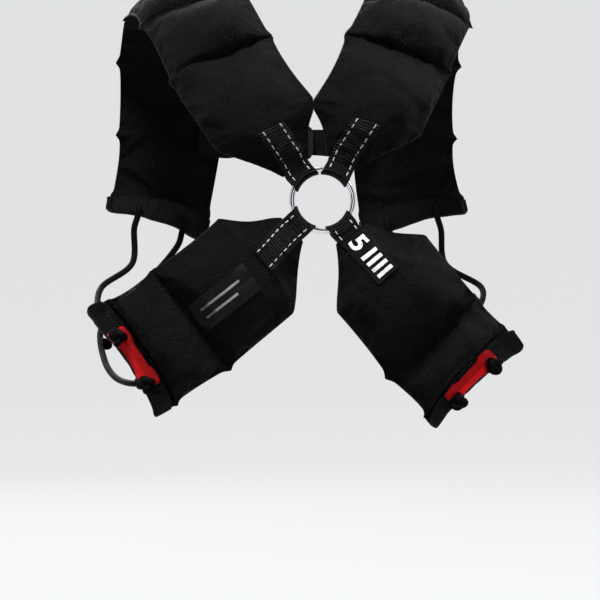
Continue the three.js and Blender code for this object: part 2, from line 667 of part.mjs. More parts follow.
// Tape from under a shoulder pad's inner edge to the clasp.
function chestStrap(pad, sign, seat) {
  const sewn = levelWith(seat.middle.z, pad);
  const face = (h) => (u, v) => {
    const s = sewn + (v * TAPE_WIDTH) / 2;
    const edge = -pad.innerHalfWidth(s);
    const low = pad.rest(s) - CLEARANCE - TAPE_THICKNESS + h;
    if (u <= 0.4) return pad.bed.at(s, edge + STRAP_UNDER_PAD * (1 - u / 0.4), low);
    const from = pad.bed.at(s, edge, low);
    const away = pad.bed.at(s, edge - STRAP_LEAD_PAD, low);
    const inPocket = (x) =>
      new THREE.Vector3(sign * x, (v * TAPE_WIDTH) / 2, h - TAPE_THICKNESS / 2)
        .applyMatrix4(seat.turn)
        .add(seat.middle);
    const to = inPocket(CLASP_WIDTH / 2 - CLASP_POCKET + CLASP_SLACK);
    const lead = inPocket(CLASP_WIDTH / 2 + STRAP_LEAD_CLASP);
    return new THREE.CubicBezierCurve3(from, away, lead, to).getPoint((u - 0.4) / 0.6);
  };
  return slab(face(TAPE_THICKNESS), face(0), steps(10), steps(2, -1, 1));
}

// The distance along a pad's front where it lies at a height.
function levelWith(height, pad) {
  let s = THREE.MathUtils.lerp(pad.tip, pad.end, STRAP_DOWN_PAD);
  for (let i = 0; i < 20; i += 1) {
    const f = pad.bed.frame(s);
    s += (f.middle.z - height) / -f.along.z;
  }
  return s;
}

function named(name, geometry, material) {
  const mesh = new THREE.Mesh(geometry, material);
  mesh.name = name;
  return mesh;
}

function shoulderPad(side) {
  return new Pad("shoulder_pad_" + side.name, new Bed(SHOULDER_ROUTE, side), {
    width: SHOULDER_WIDTH,
    full: SHOULDER_FULL,
    meets: true,
    chambers: [SHOULDER_FIRST_CHAMBER, ...Array(SHOULDER_CHAMBERS).fill(SHOULDER_CHAMBER)],
  });
}

function sidePad(side) {
  return new Pad("side_pad_" + side.name, new Bed(SIDE_ROUTE, side), {
    width: SIDE_WIDTH,
    full: SIDE_FULL,
    meets: false,
    chambers: [SIDE_FIRST_CHAMBER, side.sign < 0 ? SIDE_LAST_CHAMBER_LEFT : SIDE_LAST_CHAMBER_RIGHT],
  });
}

function vest() {
  const group = new THREE.Group();
  group.position.z = -onBody(SEAT_OUT, 90).z;
  const seat = claspSeat();
  group.add(named("back_ring", ring(), MATERIALS.steel));
  for (const side of SIDES) {
    const shoulder = shoulderPad(side);
    const flank = sidePad(side);
    const leg = side.sign > 0 ? SIZE_MARK_START - CLEARANCE : LOOP_OUTER_LEG;
    for (const [place, pad, outerLeg] of [
      ["shoulder", shoulder, LOOP_OUTER_LEG],
      ["side", flank, leg],
    ]) {
      group.add(named(pad.name, pad.geometry(), MATERIALS.fabric));
      group.add(named(`ring_loop_${place}_${side.name}`, ringLoop(pad, outerLeg), MATERIALS.tape));
      group.add(named(`hem_${place}_${side.name}`, hem(pad), MATERIALS.tape));
      group.add(named(`red_tab_${place}_${side.name}`, redTab(pad), MATERIALS.tab));
    }
    group.add(named(`side_cord_${side.name}`, sideCord(side.sign, flank, shoulder), MATERIALS.cord));
    group.add(named(`chest_strap_${side.name}`, chestStrap(shoulder, side.sign, seat), MATERIALS.tape));
    group.add(label(side, flank));
  }
  group.add(named("chest_clasp", clasp(seat), MATERIALS.clasp));
  return group;
}

function label(side, pad) {
  if (side.sign < 0) {
    const start = RING_RIM + BADGE_START;
    const low = BADGE_OFFSET - BADGE_WIDTH / 2;
    const made = onPad(pad, start, start + BADGE_LENGTH, low, low + BADGE_WIDTH, LABEL_THICKNESS);
    return named("badge_label", made, MATERIALS.label);
  }
  const start = RING_RIM + SIZE_MARK_START;
  const made = onPad(pad, start, start + SIZE_MARK_LENGTH, -TAPE_WIDTH / 2, TAPE_WIDTH / 2, LABEL_THICKNESS);
  return named("size_label", made, MATERIALS.label);
}

export default vest();
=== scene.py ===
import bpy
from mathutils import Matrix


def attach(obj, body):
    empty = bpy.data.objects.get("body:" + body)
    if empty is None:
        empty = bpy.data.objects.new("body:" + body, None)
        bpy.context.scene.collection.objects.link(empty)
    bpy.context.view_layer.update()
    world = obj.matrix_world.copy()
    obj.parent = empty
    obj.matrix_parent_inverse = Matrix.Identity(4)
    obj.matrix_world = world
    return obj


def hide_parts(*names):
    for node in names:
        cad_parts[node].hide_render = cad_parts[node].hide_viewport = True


bl_info = {
    "name": "Weighted vest",
    "version": (1, 0, 0),
    "blender": (4, 5, 0),
    "location": "3D View > Sidebar > Vest",
    "description": "Dresses the packed weighted vest: pads, tape, cords, tabs, labels and ring",
    "category": "Object",
}

import math
from functools import cache

import bmesh
import bpy
import numpy as np
from mathutils import Matrix, Vector, noise
from mathutils.bvhtree import BVHTree

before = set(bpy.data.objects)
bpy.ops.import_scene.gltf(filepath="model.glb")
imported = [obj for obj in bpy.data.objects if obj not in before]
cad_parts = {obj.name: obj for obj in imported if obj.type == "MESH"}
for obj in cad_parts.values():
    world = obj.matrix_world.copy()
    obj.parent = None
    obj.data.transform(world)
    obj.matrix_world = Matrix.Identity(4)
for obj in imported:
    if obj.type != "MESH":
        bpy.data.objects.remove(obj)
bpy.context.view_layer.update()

MM = 0.001
BODY = "root"

# The form that the vest is shaped to and the vest's sizes, in millimetres. They follow the part's
# source, apart from the worn, slipped and flared ones, which are seen in the photo only.
FORM_HALF = np.array((212.0, 120.0, 255.0))
FORM_SQUARENESS = 2.5
SEAT_OUT = 0.46
RING_ROUND = 27.6
RING_RADIUS = 27.5
RING_WIRE = 5.0
RING_RIM = RING_RADIUS + RING_WIRE / 2
RING_STANDS_OFF = 5.0
RING_FLAT = 3.0
RING_FLAT_EASE = 15.0
TAPE_WIDTH = 25.0
TAPE_THICKNESS = 1.6
LOOP_INNER_LEG = 26.0
LOOP_OUTER_LEG = 47.0
LOOP_COVERED_LEG = 9.7
CLEARANCE = 0.3
SEWN_GAP = 0.5
PAD_TIP = 8.0
PAD_TIP_WIDTH = 29.0
PAD_TAPER = 45.0
PAD_TAPER_HOLLOW = 0.06
PAD_SEAM = 3.5
PAD_EDGE_RISE = 3.0
PAD_EDGE_POWER = 4
PAD_FULL_POWER = 0.6
PAD_CROWN_POWERS = 2.8, 0.6
PAD_RESTS = 2.6
BANK_PIVOT = 25.0
MEETING_PLANE = -7.0
MEETING_GAP = 0.8
HEM_WIDTH = 22.0
HEM_FLARE = 1.05
HEM_RESTS = 9.0
HEM_DRAWN_IN = 7.0
HEM_DRAWN_OVER = 20.0
HEM_SLACK = 0.4
HEM_HALF = PAD_SEAM / 2 + HEM_SLACK
TAB_LENGTH = 66.0
TAB_WORN_LENGTH = 61.0
TAB_SLIPPED = 2.2
TAB_END_WIDTH = 18.0
TAB_WAIST_WIDTH = 13.0
TAB_THICKNESS = 2.2
TAB_DOME = 1.5
HOLE_SPACING = 49.0
CORD_RADIUS = 3.0
CORD_BEND = 3.4
CORD_SIDES = 14
CORD_RIM = (0.31, 0.17, 0.93)
KNOT_FLAT = 0.85
KNOT_SLIP = {"left": (-1.5, 4.5), "right": (2.5, 4.0)}
INNER_KNOT_DIAMETER = 12.0
INNER_KNOT_PAST = {-1: 18.0, 1: 0.0}
CLASP_WIDTH = 52.0
CLASP_HEIGHT = 34.0
CLASP_THICKNESS = 9.0
CLASP_STANDS_OFF = 2.0
CLASP_POCKET = 9.0
CLASP_SLACK = 0.7
STRAP_UNDER_PAD = 24.0
STRAP_DOWN_PAD = 0.862
STRAP_LEAD_PAD = 12.0
STRAP_LEAD_CLASP = 24.0

# Left out, left round, left skew, right out, right round, right skew, hug, bank, as in the part's
# source.
SHOULDER_ROUTE = np.array((
    (0.0, 27.6, 0, 0.0, 27.6, 0, 0.8, 0),
    (0.113, 38.8, 3, 0.083, 40.2, 6, 0.8, 0),
    (0.245, 50, 8, 0.215, 53, 16, 0.8, 0),
    (0.41, 66, -2, 0.345, 66, 6, 0.7, 0),
    (0.5, 84, 4, 0.475, 83, 5, 0.2, 11),
    (0.525, 110, 0, 0.525, 110, 0, 0.15, 25),
    (0.53, 130, 0, 0.53, 130, 0, 0.4, 13),
    (0.57, 151, 0, 0.57, 151, 0, 0.4, 0),
    (0.63, 171, 0, 0.63, 171, 0, 0.4, 0),
    (0.7, 191, 0, 0.7, 191, 0, 0.4, 0),
))
SIDE_ROUTE = np.array((
    (0.0, 27.6, 0, 0.0, 27.6, 0, 0.4, 0),
    (0.14, 16.4, 4, 0.119, 14.5, 0, 0.4, 0),
    (0.3, 0, 5, 0.252, -2, 0, 0.4, 0),
    (0.547, -22, -1, 0.468, -27.5, -2, 0.4, 0),
    (0.75, -40, -6, 0.622, -43, 0, 0.4, 0),
    (0.835, -50, -7, 0.692, -51.5, 0, 0.4, 0),
    (0.92, -68, -7, 0.783, -63, 0, 0.4, 0),
))
# A cord's way round the flank: turn, height of its upper and lower strand, and how far the form is
# slimmer there on the left and on the right.
CORD_ROUTE = (
    (76, -0.25, -0.4, 0.18, 0.44),
    (92, -0.17, -0.33, 0.2, 0.4),
    (108, -0.06, -0.2, 0.12, 0.16),
    (122, 0.04, -0.09, 0.04, 0.02),
)


# ---- The form and the places on it ----


def form_value(p):
    return (np.abs(p / FORM_HALF) ** FORM_SQUARENESS).sum(-1)


def unit(v):
    return v / np.linalg.norm(v, axis=-1, keepdims=True)


def outward(p):
    share = p / FORM_HALF
    return unit(np.sign(share) * np.abs(share) ** (FORM_SQUARENESS - 1) / FORM_HALF)


def on_form(out, round_degrees):
    """The skin of the form, out sideways and round from straight behind, up and over."""
    out, turn = np.broadcast_arrays(np.asarray(out, float), np.radians(round_degrees))
    left = np.maximum(1 - np.abs(out) ** FORM_SQUARENESS, 1e-4)
    ray = np.stack((np.zeros_like(turn), -np.cos(turn), np.sin(turn)), -1)
    scale = (left / form_value(ray)) ** (1 / FORM_SQUARENESS)
    skin = ray * scale[..., None]
    skin[..., 0] = out * FORM_HALF[0]
    return skin


def on_flank(sign, turn_degrees, height):
    """The skin of the form at a height, turned round the flank from straight behind."""
    turn = math.radians(turn_degrees)
    ray = np.array((math.sin(turn), -math.cos(turn), 0.0))
    left = 1 - abs(height / FORM_HALF[2]) ** FORM_SQUARENESS
    scale = (left / form_value(ray)) ** (1 / FORM_SQUARENESS)
    return np.array((sign * ray[0] * scale, ray[1] * scale, height))


def smoothstep(x, low, high):
    t = np.clip((np.asarray(x, float) - low) / (high - low), 0, 1)
    return t * t * (3 - 2 * t)


def near(distance, width):
    """1 at a place, falling to 0 a few widths away."""
    return np.exp(-((distance / width) ** 2))


def crowned(share, broad, steep):
    """1 in the middle of a pad's width, falling to 0 at its edges."""
    return np.maximum(0, 1 - np.abs(share) ** broad) ** steep


def run_along(points, power=1.0):
    """How far along a line each of its points is."""
    steps = np.linalg.norm(np.diff(points, axis=0), axis=1) ** power
    return np.concatenate(([0], np.cumsum(steps)))


def cubic(p1, p2, m1, m2, f):
    """A curve from p1 to p2 that leaves at slope m1 and arrives at slope m2."""
    return p1 + m1 * f + (3 * (p2 - p1) - 2 * m1 - m2) * f**2 + (2 * (p1 - p2) + m1 + m2) * f**3


def even_curve(points, t):
    """Points of an even Catmull-Rom curve through rows of points, t from 0 to 1."""
    points = np.asarray(points, float)
    padded = np.vstack((2 * points[0] - points[1], points, 2 * points[-1] - points[-2]))
    p = np.clip(t, 0, 1) * (len(points) - 1)
    i = np.minimum(p.astype(int), len(points) - 2)
    f = (p - i)[:, None]
    p0, p1, p2, p3 = (padded[i + k] for k in range(4))
    return cubic(p1, p2, (p2 - p0) / 2, (p3 - p1) / 2, f)


RING_SEAT = on_form(0.0, RING_ROUND)
RING_OUT = outward(RING_SEAT)
LIFT = -on_form(SEAT_OUT, 90.0)[2]


def to_row(p):
    """Millimetres on the form to metres in the row frame."""
    return (np.asarray(p, float) + (0, 0, LIFT)) * MM


class Bed:
    """A pad's place on the form: s runs along it from the ring, w across it to its outer or lower
    edge, h out."""

    def __init__(self, route, sign, drawn, drawn_half):
        first = 0 if sign < 0 else 3
        places, leans = route[:, first : first + 2], route[:, [first + 2, 6, 7]]

        def skin(t):
            place = even_curve(places, t)
            return on_form(sign * place[:, 0], place[:, 1])

        t = np.linspace(0, 1, 601)
        lengths = run_along(skin(t))
        self.sign, self.drawn, self.drawn_half = sign, drawn, drawn_half
        self.stations = np.arange(0, lengths[-1])
        at = np.interp(self.stations, lengths, t)
        middle = skin(at)
        out = outward(middle)
        tangent = skin(at + 1e-4) - skin(at - 1e-4)
        across = unit(np.cross(tangent, out)) * sign
        along = np.cross(out, across) * sign
        lean = even_curve(leans, at)
        bend = self.bend(middle, across, out)
        bank = np.radians(lean[:, 2])
        middle = middle + out * (np.sin(bank) * BANK_PIVOT)[:, None]
        turn = (-sign * bank)[:, None]
        across, out = (v * np.cos(turn) + np.cross(along, v) * np.sin(turn) for v in (across, out))
        skew = np.tan(np.radians(lean[:, :1]))
        self.table = np.hstack((middle, across, along, out, bend[:, None], skew, lean[:, 1:2]))
        start = self.ways(1.0)[2]
        self.flat_along = unit(start - RING_OUT * start.dot(RING_OUT))
        self.flat_across = np.cross(self.flat_along, RING_OUT) * sign

    @staticmethod
    def bend(middle, across, out):
        """How fast the skin falls away across the pad."""
        aside, nudge, fall = 15.0, 0.01, np.zeros(len(middle))

        def off_skin(fall):
            return form_value(middle + across * aside + out * fall[:, None]) - 1

        for _ in range(8):
            here = off_skin(fall)
            fall = fall - here / ((off_skin(fall + nudge) - here) / nudge)
        return fall / aside**2

    def frame(self, s):
        rows = np.stack([np.interp(s, self.stations, c) for c in self.table.T], -1)
        return rows[..., :3], rows[..., 3:6], rows[..., 6:9], rows[..., 9:12], rows[..., 12:]

    def ways(self, s):
        """The middle, across, along and out of one place."""
        return [rows[0] for rows in self.frame(np.array([s]))[:4]]

    def at(self, s, w, h):
        """Points in millimetres on the form."""
        s, w, h = np.broadcast_arrays(*(np.asarray(x, float) for x in (s, w, h)))
        middle, across, along, out, (bend, skew, hug) = (
            x if i < 4 else np.moveaxis(x, -1, 0) for i, x in enumerate(self.frame(s))
        )
        flat = RING_RIM + RING_FLAT
        share = smoothstep(s, flat, flat + RING_FLAT_EASE)[..., None]
        narrow = np.maximum(0, 1 - (w / self.drawn_half) ** 2)
        pulled = HEM_DRAWN_IN * smoothstep(s, *self.drawn) * narrow

        def summed(start, *parts):
            return start + sum(way * far[..., None] for way, far in parts)

        lift, back = h + bend * hug * w * w, w * skew - pulled
        on_ring = summed(RING_SEAT, (self.flat_along, s), (self.flat_across, w), (RING_OUT, h))
        laid = summed(middle, (across, w), (along, back), (out, lift))
        return on_ring * (1 - share) + laid * share


class Pad:
    """One pad, all in the bed's s, w and h: its chambers, the plain height of its faces, its ring
    tape's outer length, the heights of its hem and red tab, and where the tab's holes lie."""

    def __init__(self, place, side, route, width, full, chambers, meets):
        self.name = f"{place}_pad_{side}"
        self.tag = f"{place}_{side}"
        self.place, self.side, self.sign = place, side, -1 if side == "left" else 1
        self.width, self.full, self.meets = width, full, meets
        self.tip = RING_RIM + PAD_TIP
        self.seams = np.concatenate(([self.tip], self.tip + np.cumsum(chambers)))
        self.end = self.seams[-1]
        drawn = (self.end - HEM_DRAWN_OVER, self.end)
        self.bed = Bed(route, self.sign, drawn, width / 2)
        self.outer_leg = LOOP_COVERED_LEG if self.tag == "side_right" else LOOP_OUTER_LEG
        self.hem = self.rest(self.end) + PAD_SEAM / 2
        self.hem_top = self.hem + HEM_HALF + TAPE_THICKNESS
        self.hem_low = self.hem - HEM_HALF - TAPE_THICKNESS
        self.tab_top = self.hem_top + CLEARANCE + TAB_THICKNESS + TAB_DOME
        self.holes = self.end + HEM_WIDTH / 2

    def half_width(self, s):
        taper = np.clip((s - self.tip) / PAD_TAPER, 0, 1)
        rounded = taper - PAD_TAPER_HOLLOW * np.sin(np.pi * taper) ** 2
        return (PAD_TIP_WIDTH + (self.width - PAD_TIP_WIDTH) * rounded) / 2

    def inner_half_width(self, s):
        full = self.half_width(s)
        if not self.meets:
            return full
        middle, across, along, _, lean = self.bed.frame(s)
        away = np.abs(middle[..., 0] - MEETING_PLANE) - MEETING_GAP / 2
        reach = np.abs(across[..., 0] + along[..., 0] * lean[..., 1])
        return np.minimum(full, away / reach)

    def share(self, s, w):
        half = np.where(w < 0, self.inner_half_width(s), self.half_width(s))
        return np.clip(w / half, -1, 1)

    def rest(self, s):
        return PAD_RESTS + (HEM_RESTS - PAD_RESTS) * smoothstep(s, self.seams[-2], self.end)

    def chamber_share(self, s):
        """Which chamber a place is in, and how far through it, 0 to 1."""
        i = np.clip(np.searchsorted(self.seams, s, side="right") - 1, 0, len(self.seams) - 2)
        return i, np.clip((s - self.seams[i]) / (self.seams[i + 1] - self.seams[i]), 0, 1)

    def seam_near(self, s, first=0):
        """Distance to the nearest seam."""
        return np.min(np.abs(s[:, None] - self.seams[None, first:]), axis=1)

    def fullness(self, s):
        _, t = self.chamber_share(np.asarray(s, float))
        return np.maximum(np.sin(np.pi * t), 0) ** PAD_FULL_POWER

    def bottom(self, s, share):
        return self.rest(s) + PAD_EDGE_RISE * self.fullness(s) * np.abs(share) ** PAD_EDGE_POWER

    def thickness(self, s, share):
        crown = crowned(share, *PAD_CROWN_POWERS)
        return PAD_SEAM + (self.full - PAD_SEAM) * self.fullness(s) * crown

    def top_at(self, s, w):
        share = self.share(s, w)
        return self.bottom(s, share) + self.thickness(s, share)


def both(make):
    return {side: make(side) for side in ("left", "right")}


SHOULDERS = both(lambda side: Pad(
    "shoulder", side, SHOULDER_ROUTE,
    width=102.0, full=20.0, chambers=[121.0] + [66.0] * 5, meets=True,
))
SIDES = both(lambda side: Pad(
    "side", side, SIDE_ROUTE,
    width=111.0, full=19.0, chambers=[120.0, {"left": 52.0, "right": 44.0}[side]], meets=False,
))
PADS = [pad for group in (SHOULDERS, SIDES) for pad in group.values()]


# ---- Mesh helpers ----


def only(piece):
    for other in bpy.context.selected_objects:
        other.select_set(False)
    if piece is not None:
        piece.select_set(True)
        bpy.context.view_layer.objects.active = piece


def added(name, operator, **options):
    """The piece that an operator adds."""
    only(None)
    operator(**options)
    piece = bpy.context.object
    piece.name = piece.data.name = name
    return piece


def edit(piece, *steps):
    """Runs edit-mode operators on a piece, all of it selected."""
    only(piece)
    bpy.ops.object.mode_set(mode="EDIT")
    bpy.ops.mesh.select_all(action="SELECT")
    for operator, options in steps:
        operator(**options)
    bpy.ops.object.mode_set(mode="OBJECT")


def coordinates(piece):
    co = np.empty(len(piece.data.vertices) * 3)
    piece.data.vertices.foreach_get("co", co)
    return co.reshape(-1, 3)


def set_coordinates(piece, co):
    piece.data.vertices.foreach_set("co", np.asarray(co, float).ravel())
    piece.data.update()


def write(piece, name, values):
    """Keeps a number for each vertex under a name."""
    attribute = piece.data.attributes.new(name, "FLOAT", "POINT")
    attribute.data.foreach_set("value", values.astype(np.float32))


def read(piece, name):
    values = np.empty(len(piece.data.vertices), np.float32)
    piece.data.attributes[name].data.foreach_get("value", values)
    return values.astype(float)


def apply(piece, kind, **settings):
    """Adds a modifier and applies it."""
    only(piece)
    modifier = piece.modifiers.new(kind.title(), kind)
    for key, value in settings.items():
        setattr(modifier, key, value)
    bpy.ops.object.modifier_apply(modifier=modifier.name)


def laid_grid(name, columns, rows, place, size):
    """A grid laid on a surface. place takes u and v, each 0 to 1, and gives points on the form.
    size is the real length of u and v in millimetres, which the UV map holds in metres."""
    grid = {"x_subdivisions": columns, "y_subdivisions": rows, "size": 2}
    piece = added(name, bpy.ops.mesh.primitive_grid_add, **grid)
    flat = (coordinates(piece)[:, :2] + 1) / 2
    index = np.empty(len(piece.data.loops), int)
    piece.data.loops.foreach_get("vertex_index", index)
    uv = flat[index] * np.asarray(size) * MM
    piece.data.uv_layers[0].data.foreach_set("uv", uv.ravel())
    set_coordinates(piece, to_row(place(flat[:, 0], flat[:, 1])))
    return piece


def sheet(name, columns, rows, place, size, thickness):
    """A laid grid, made as thick as a cloth or tape in millimetres."""
    piece = laid_grid(name, columns, rows, place, size)
    apply(piece, "SOLIDIFY", thickness=thickness * MM, offset=0.0)
    face_out(piece)
    return piece


def finish_piece(piece, material, replaces=(), angle=None):
    """Gives a piece its material, smooth shading and its place on the vest."""
    piece.data.materials.clear()
    piece.data.materials.append(material)
    only(piece)
    if angle is None:
        bpy.ops.object.shade_smooth()
    else:
        bpy.ops.object.shade_smooth_by_angle(angle=math.radians(angle))
    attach(piece, BODY)
    if replaces:
        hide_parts(*replaces)
    return piece


def join(pieces, name):
    only(pieces[0])
    for piece in pieces:
        piece.select_set(True)
    if len(pieces) > 1:
        bpy.ops.object.join()
    pieces[0].name = pieces[0].data.name = name
    return pieces[0]


def face_out(piece):
    edit(piece, (bpy.ops.mesh.remove_doubles, {"threshold": 1e-5}),
         (bpy.ops.mesh.normals_make_consistent, {"inside": False}))


def round_cord(name, path, radius):
    """A round cord along a path of points, with rounded ends. Its rim starts at one direction that
    is carried along without twist."""
    run, ahead = run_along(path), unit(np.gradient(path, axis=0))
    rim = np.array(CORD_RIM)
    normals = []
    for direction in ahead:
        rim = unit(rim - direction * rim.dot(direction))
        normals.append(rim)
    normals = np.array(normals)
    others = np.cross(ahead, normals)
    left = np.minimum(run, run[-1] - run) / radius
    radii = radius * np.sqrt(np.clip(1 - (1 - np.minimum(left, 1)) ** 2, 0, 1))[:, None]
    count = len(path)

    def place(u, v):
        i, turn = np.rint(u * (count - 1)).astype(int), (2 * np.pi * v)[:, None]
        return path[i] + radii[i] * (np.cos(turn) * normals[i] + np.sin(turn) * others[i])

    piece = laid_grid(name, count - 1, CORD_SIDES, place, (run[-1], 2 * np.pi * radius))
    face_out(piece)
    return piece


def resampled(points, spacing):
    """An even line of points along a smooth curve through the given ones."""
    points = np.asarray(points, float)
    knots = run_along(points, 0.5)
    slopes = np.gradient(points, knots, axis=0)
    fine = np.linspace(0, knots[-1], 60 * len(points))
    i = np.clip(np.searchsorted(knots, fine, side="right") - 1, 0, len(points) - 2)
    gap = (knots[i + 1] - knots[i])[:, None]
    f = (fine - knots[i])[:, None] / gap
    line = cubic(points[i], points[i + 1], slopes[i] * gap, slopes[i + 1] * gap, f)
    run = run_along(line)
    even = np.linspace(0, run[-1], max(4, int(run[-1] / spacing)))
    return np.stack([np.interp(even, run, c) for c in line.T], -1)


def ripple(points, scale, seed):
    """Smooth even noise, about -1 to 1, at points given in millimetres."""
    return np.array([
        noise.noise(Vector((x / scale + seed, y / scale, z / scale - seed))) for x, y, z in points
    ])


# ---- Finishes ----


class Finish:
    """A material and short ways to wire its nodes."""

    def __init__(self, name, **values):
        self.material = bpy.data.materials.new(name)
        self.material.use_nodes = True
        self.nodes = self.material.node_tree.nodes
        self.links = self.material.node_tree.links
        self.shader = self.nodes["Principled BSDF"]
        for key, value in values.items():
            socket = key.replace("_", " ").title().replace("Ior", "IOR")
            self.shader.inputs[socket].default_value = value

    def fill(self, sockets, values):
        """Links or sets each socket that has a value."""
        for socket, value in zip(sockets, values):
            if isinstance(value, bpy.types.NodeSocket):
                self.links.new(value, socket)
            elif value is not None:
                socket.default_value = value

    def node(self, kind, *inputs, **settings):
        made = self.nodes.new("ShaderNode" + kind)
        for key, value in settings.items():
            setattr(made, key, value)
        self.fill(made.inputs, inputs)
        return made

    def math(self, operation, *values):
        return self.node("Math", *values, operation=operation).outputs[0]

    def times(self, first, second):
        return self.math("MULTIPLY", first, second)

    def plus(self, first, second):
        return self.math("ADD", first, second)

    def spot(self):
        return self.node("TexCoord").outputs["Object"]

    def cloth(self):
        """The UV, which is in metres, and its two directions."""
        uv = self.node("TexCoord").outputs["UV"]
        return (uv, *self.node("SeparateXYZ", uv).outputs[:2])

    def attribute(self, name):
        return self.node("Attribute", attribute_name=name).outputs["Fac"]

    def wave(self, value, pitch):
        """Even ridges, 0 to 1, one for each pitch in metres."""
        angle = self.times(value, 2 * math.pi / pitch)
        return self.math("MULTIPLY_ADD", self.math("SINE", angle), 0.5, 0.5)

    def noise(self, vector, scale, detail=2.0, roughness=0.5):
        return self.node("TexNoise", vector, None, scale, detail, roughness).outputs["Fac"]

    def spread(self, value, low, high, to_low=0.0, to_high=1.0):
        return self.node("MapRange", value, low, high, to_low, to_high).outputs[0]

    def patches(self, scale, detail, *limits):
        """Noise over the piece, spread from its low to its high limit."""
        return self.spread(self.noise(self.spot(), scale, detail), *limits)

    def colours(self, factor, *pair):
        pair = [c if isinstance(c, bpy.types.NodeSocket) else (*c, 1) for c in pair]
        return self.node("Mix", factor, *[None] * 5, *pair, data_type="RGBA").outputs[2]

    def bump(self, height, distance, strength=1.0, under=None):
        made = self.node("Bump")
        keys = ("Strength", "Distance", "Height", "Normal")
        self.fill([made.inputs[key] for key in keys], (strength, distance, height, under))
        return made.outputs[0]

    def done(self, *values):
        """Fills in the colour, the roughness and the normal, and gives the material."""
        keys = ("Base Color", "Roughness", "Normal")
        self.fill([self.shader.inputs[key] for key in keys], values)
        return self.material


def grey(value, blue=1.12):
    return (value, value, value * blue)


@cache
def pad_canvas():
    """Near-black twill, with a painted highlight beside its seams and rubbed paler edges."""
    f = Finish("pad_canvas", sheen_weight=0.005, sheen_roughness=0.35, specular_ior_level=0.05)
    uv, along, across = f.cloth()
    wander = f.times(f.noise(uv, 35.0), 0.0016)
    twill = f.wave(f.plus(f.plus(across, f.times(along, 0.4)), wander), 0.0017)
    threads = f.times(f.wave(along, 0.0008), f.wave(across, 0.0008))
    weave = f.plus(f.times(twill, 0.5), f.times(threads, 0.4))
    rough = f.plus(weave, f.times(f.spread(f.noise(uv, 850.0), 0.35, 0.7), 0.9))
    base = f.colours(f.patches(26.0, 4.0, 0.35, 0.7), grey(0.0005), grey(0.0013))
    # paler by the painted highlight beside the seams and by the rubbed edges
    lit = f.colours(f.times(f.attribute("wear_and_highlight"), 0.4), base, grey(0.006))
    # the raised threads are painted paler, a painted highlight on the weave
    colour = f.colours(f.times(f.math("POWER", rough, 2.0), 0.55), lit, grey(0.0085))
    soft = f.bump(f.noise(f.spot(), 80.0, 4.0, 0.55), 0.003, 0.6)
    roughness = f.patches(40.0, 2.0, 0.3, 0.7, 0.46, 0.6)
    return f.done(colour, roughness, f.bump(rough, 0.0008, under=soft))


# The tapes' rib pitch, the UV direction that the ribs follow each other in, and tone.
TAPES = {
    "loop_tape": (0.0024, 0, 0.0026),
    "hem_tape": (0.0026, 1, 0.0026),
    "number_tape": (0.0012, 0, 0.0024),
}


@cache
def ribbed_tape(name):
    """Black grosgrain: round ribs across the tape, with fine thread between them."""
    pitch, direction, tone = TAPES[name]
    f = Finish(name, sheen_weight=0.006, sheen_roughness=0.4, specular_ior_level=0.09)
    uv, *axes = f.cloth()
    wobble = f.times(f.noise(uv, 60.0), pitch * 0.8)
    ribs = f.wave(f.plus(axes[direction], wobble), pitch)
    height = f.plus(ribs, f.times(f.wave(axes[1 - direction], 0.0006), 0.18))
    patches = f.patches(90.0, 3.0, 0.3, 0.75)
    base = f.colours(patches, grey(tone * 0.4), grey(tone * 0.9))
    # the rib tops are painted paler, a painted highlight on the ribs
    colour = f.colours(f.times(f.math("POWER", ribs, 2.0), 0.8), base, grey(tone * 4.5))
    soft = f.bump(f.noise(f.spot(), 170.0, 3.0), 0.0012, 0.5)
    roughness = f.spread(patches, 0.0, 1.0, 0.42, 0.62)
    return f.done(colour, roughness, f.bump(height, 0.0014, under=soft))


@cache
def white_thread():
    """Pale twisted thread, with a little painted shade in the hollows of its twist."""
    f = Finish("white_thread", sheen_weight=0.2, specular_ior_level=0.4)
    twist = f.wave(f.plus(*f.node("SeparateXYZ", f.spot()).outputs[:2]), 0.0007)
    # painted shade in the hollows of the twist
    colour = f.colours(f.times(twist, 0.5), (0.5, 0.505, 0.51), (0.32, 0.325, 0.33))
    return f.done(colour, f.patches(900.0, 2.0, 0.3, 0.7, 0.5, 0.75), f.bump(twist, 0.0002, 0.6))


@cache
def red_tape():
    """Bright red woven tape, matt, with painted shade along the half that is turned to the pad."""
    f = Finish("red_tape", sheen_weight=0.05, sheen_roughness=0.5, specular_ior_level=0.12)
    uv, along, across = f.cloth()
    weave = f.times(f.wave(along, 0.0011), f.wave(across, 0.0008))
    speck = f.spread(f.noise(uv, 1500.0), 0.62, 0.72)
    unshaded_red = f.colours(f.times(weave, 0.45), (0.95, 0.003, 0.006), (1.0, 0.01, 0.014))
    # painted shade on the half of the tab that is turned to the pad
    shaded_red = f.colours(f.attribute("shaded_inner_half"), unshaded_red, (0.45, 0.002, 0.004))
    colour = f.colours(f.times(speck, 0.12), shaded_red, (0.8, 0.35, 0.35))
    return f.done(colour, f.spread(weave, 0.0, 1.0, 0.75, 0.6), f.bump(weave, 0.0004, 0.7))


@cache
def braided_cord():
    """Black elastic cord with a braided cover."""
    f = Finish("braided_cord", sheen_weight=0.0, specular_ior_level=0.012)
    _, *both_ways = f.cloth()
    strands = [f.wave(f.math(kind, *both_ways), 0.0018) for kind in ("ADD", "SUBTRACT")]
    braid = f.math("MAXIMUM", *strands)
    # the raised strands are painted paler, a painted highlight on the braid
    colour = f.colours(f.times(braid, 0.7), grey(0.001), grey(0.009))
    return f.done(colour, f.spread(braid, 0.0, 1.0, 0.42, 0.3), f.bump(braid, 0.0003, 0.6))


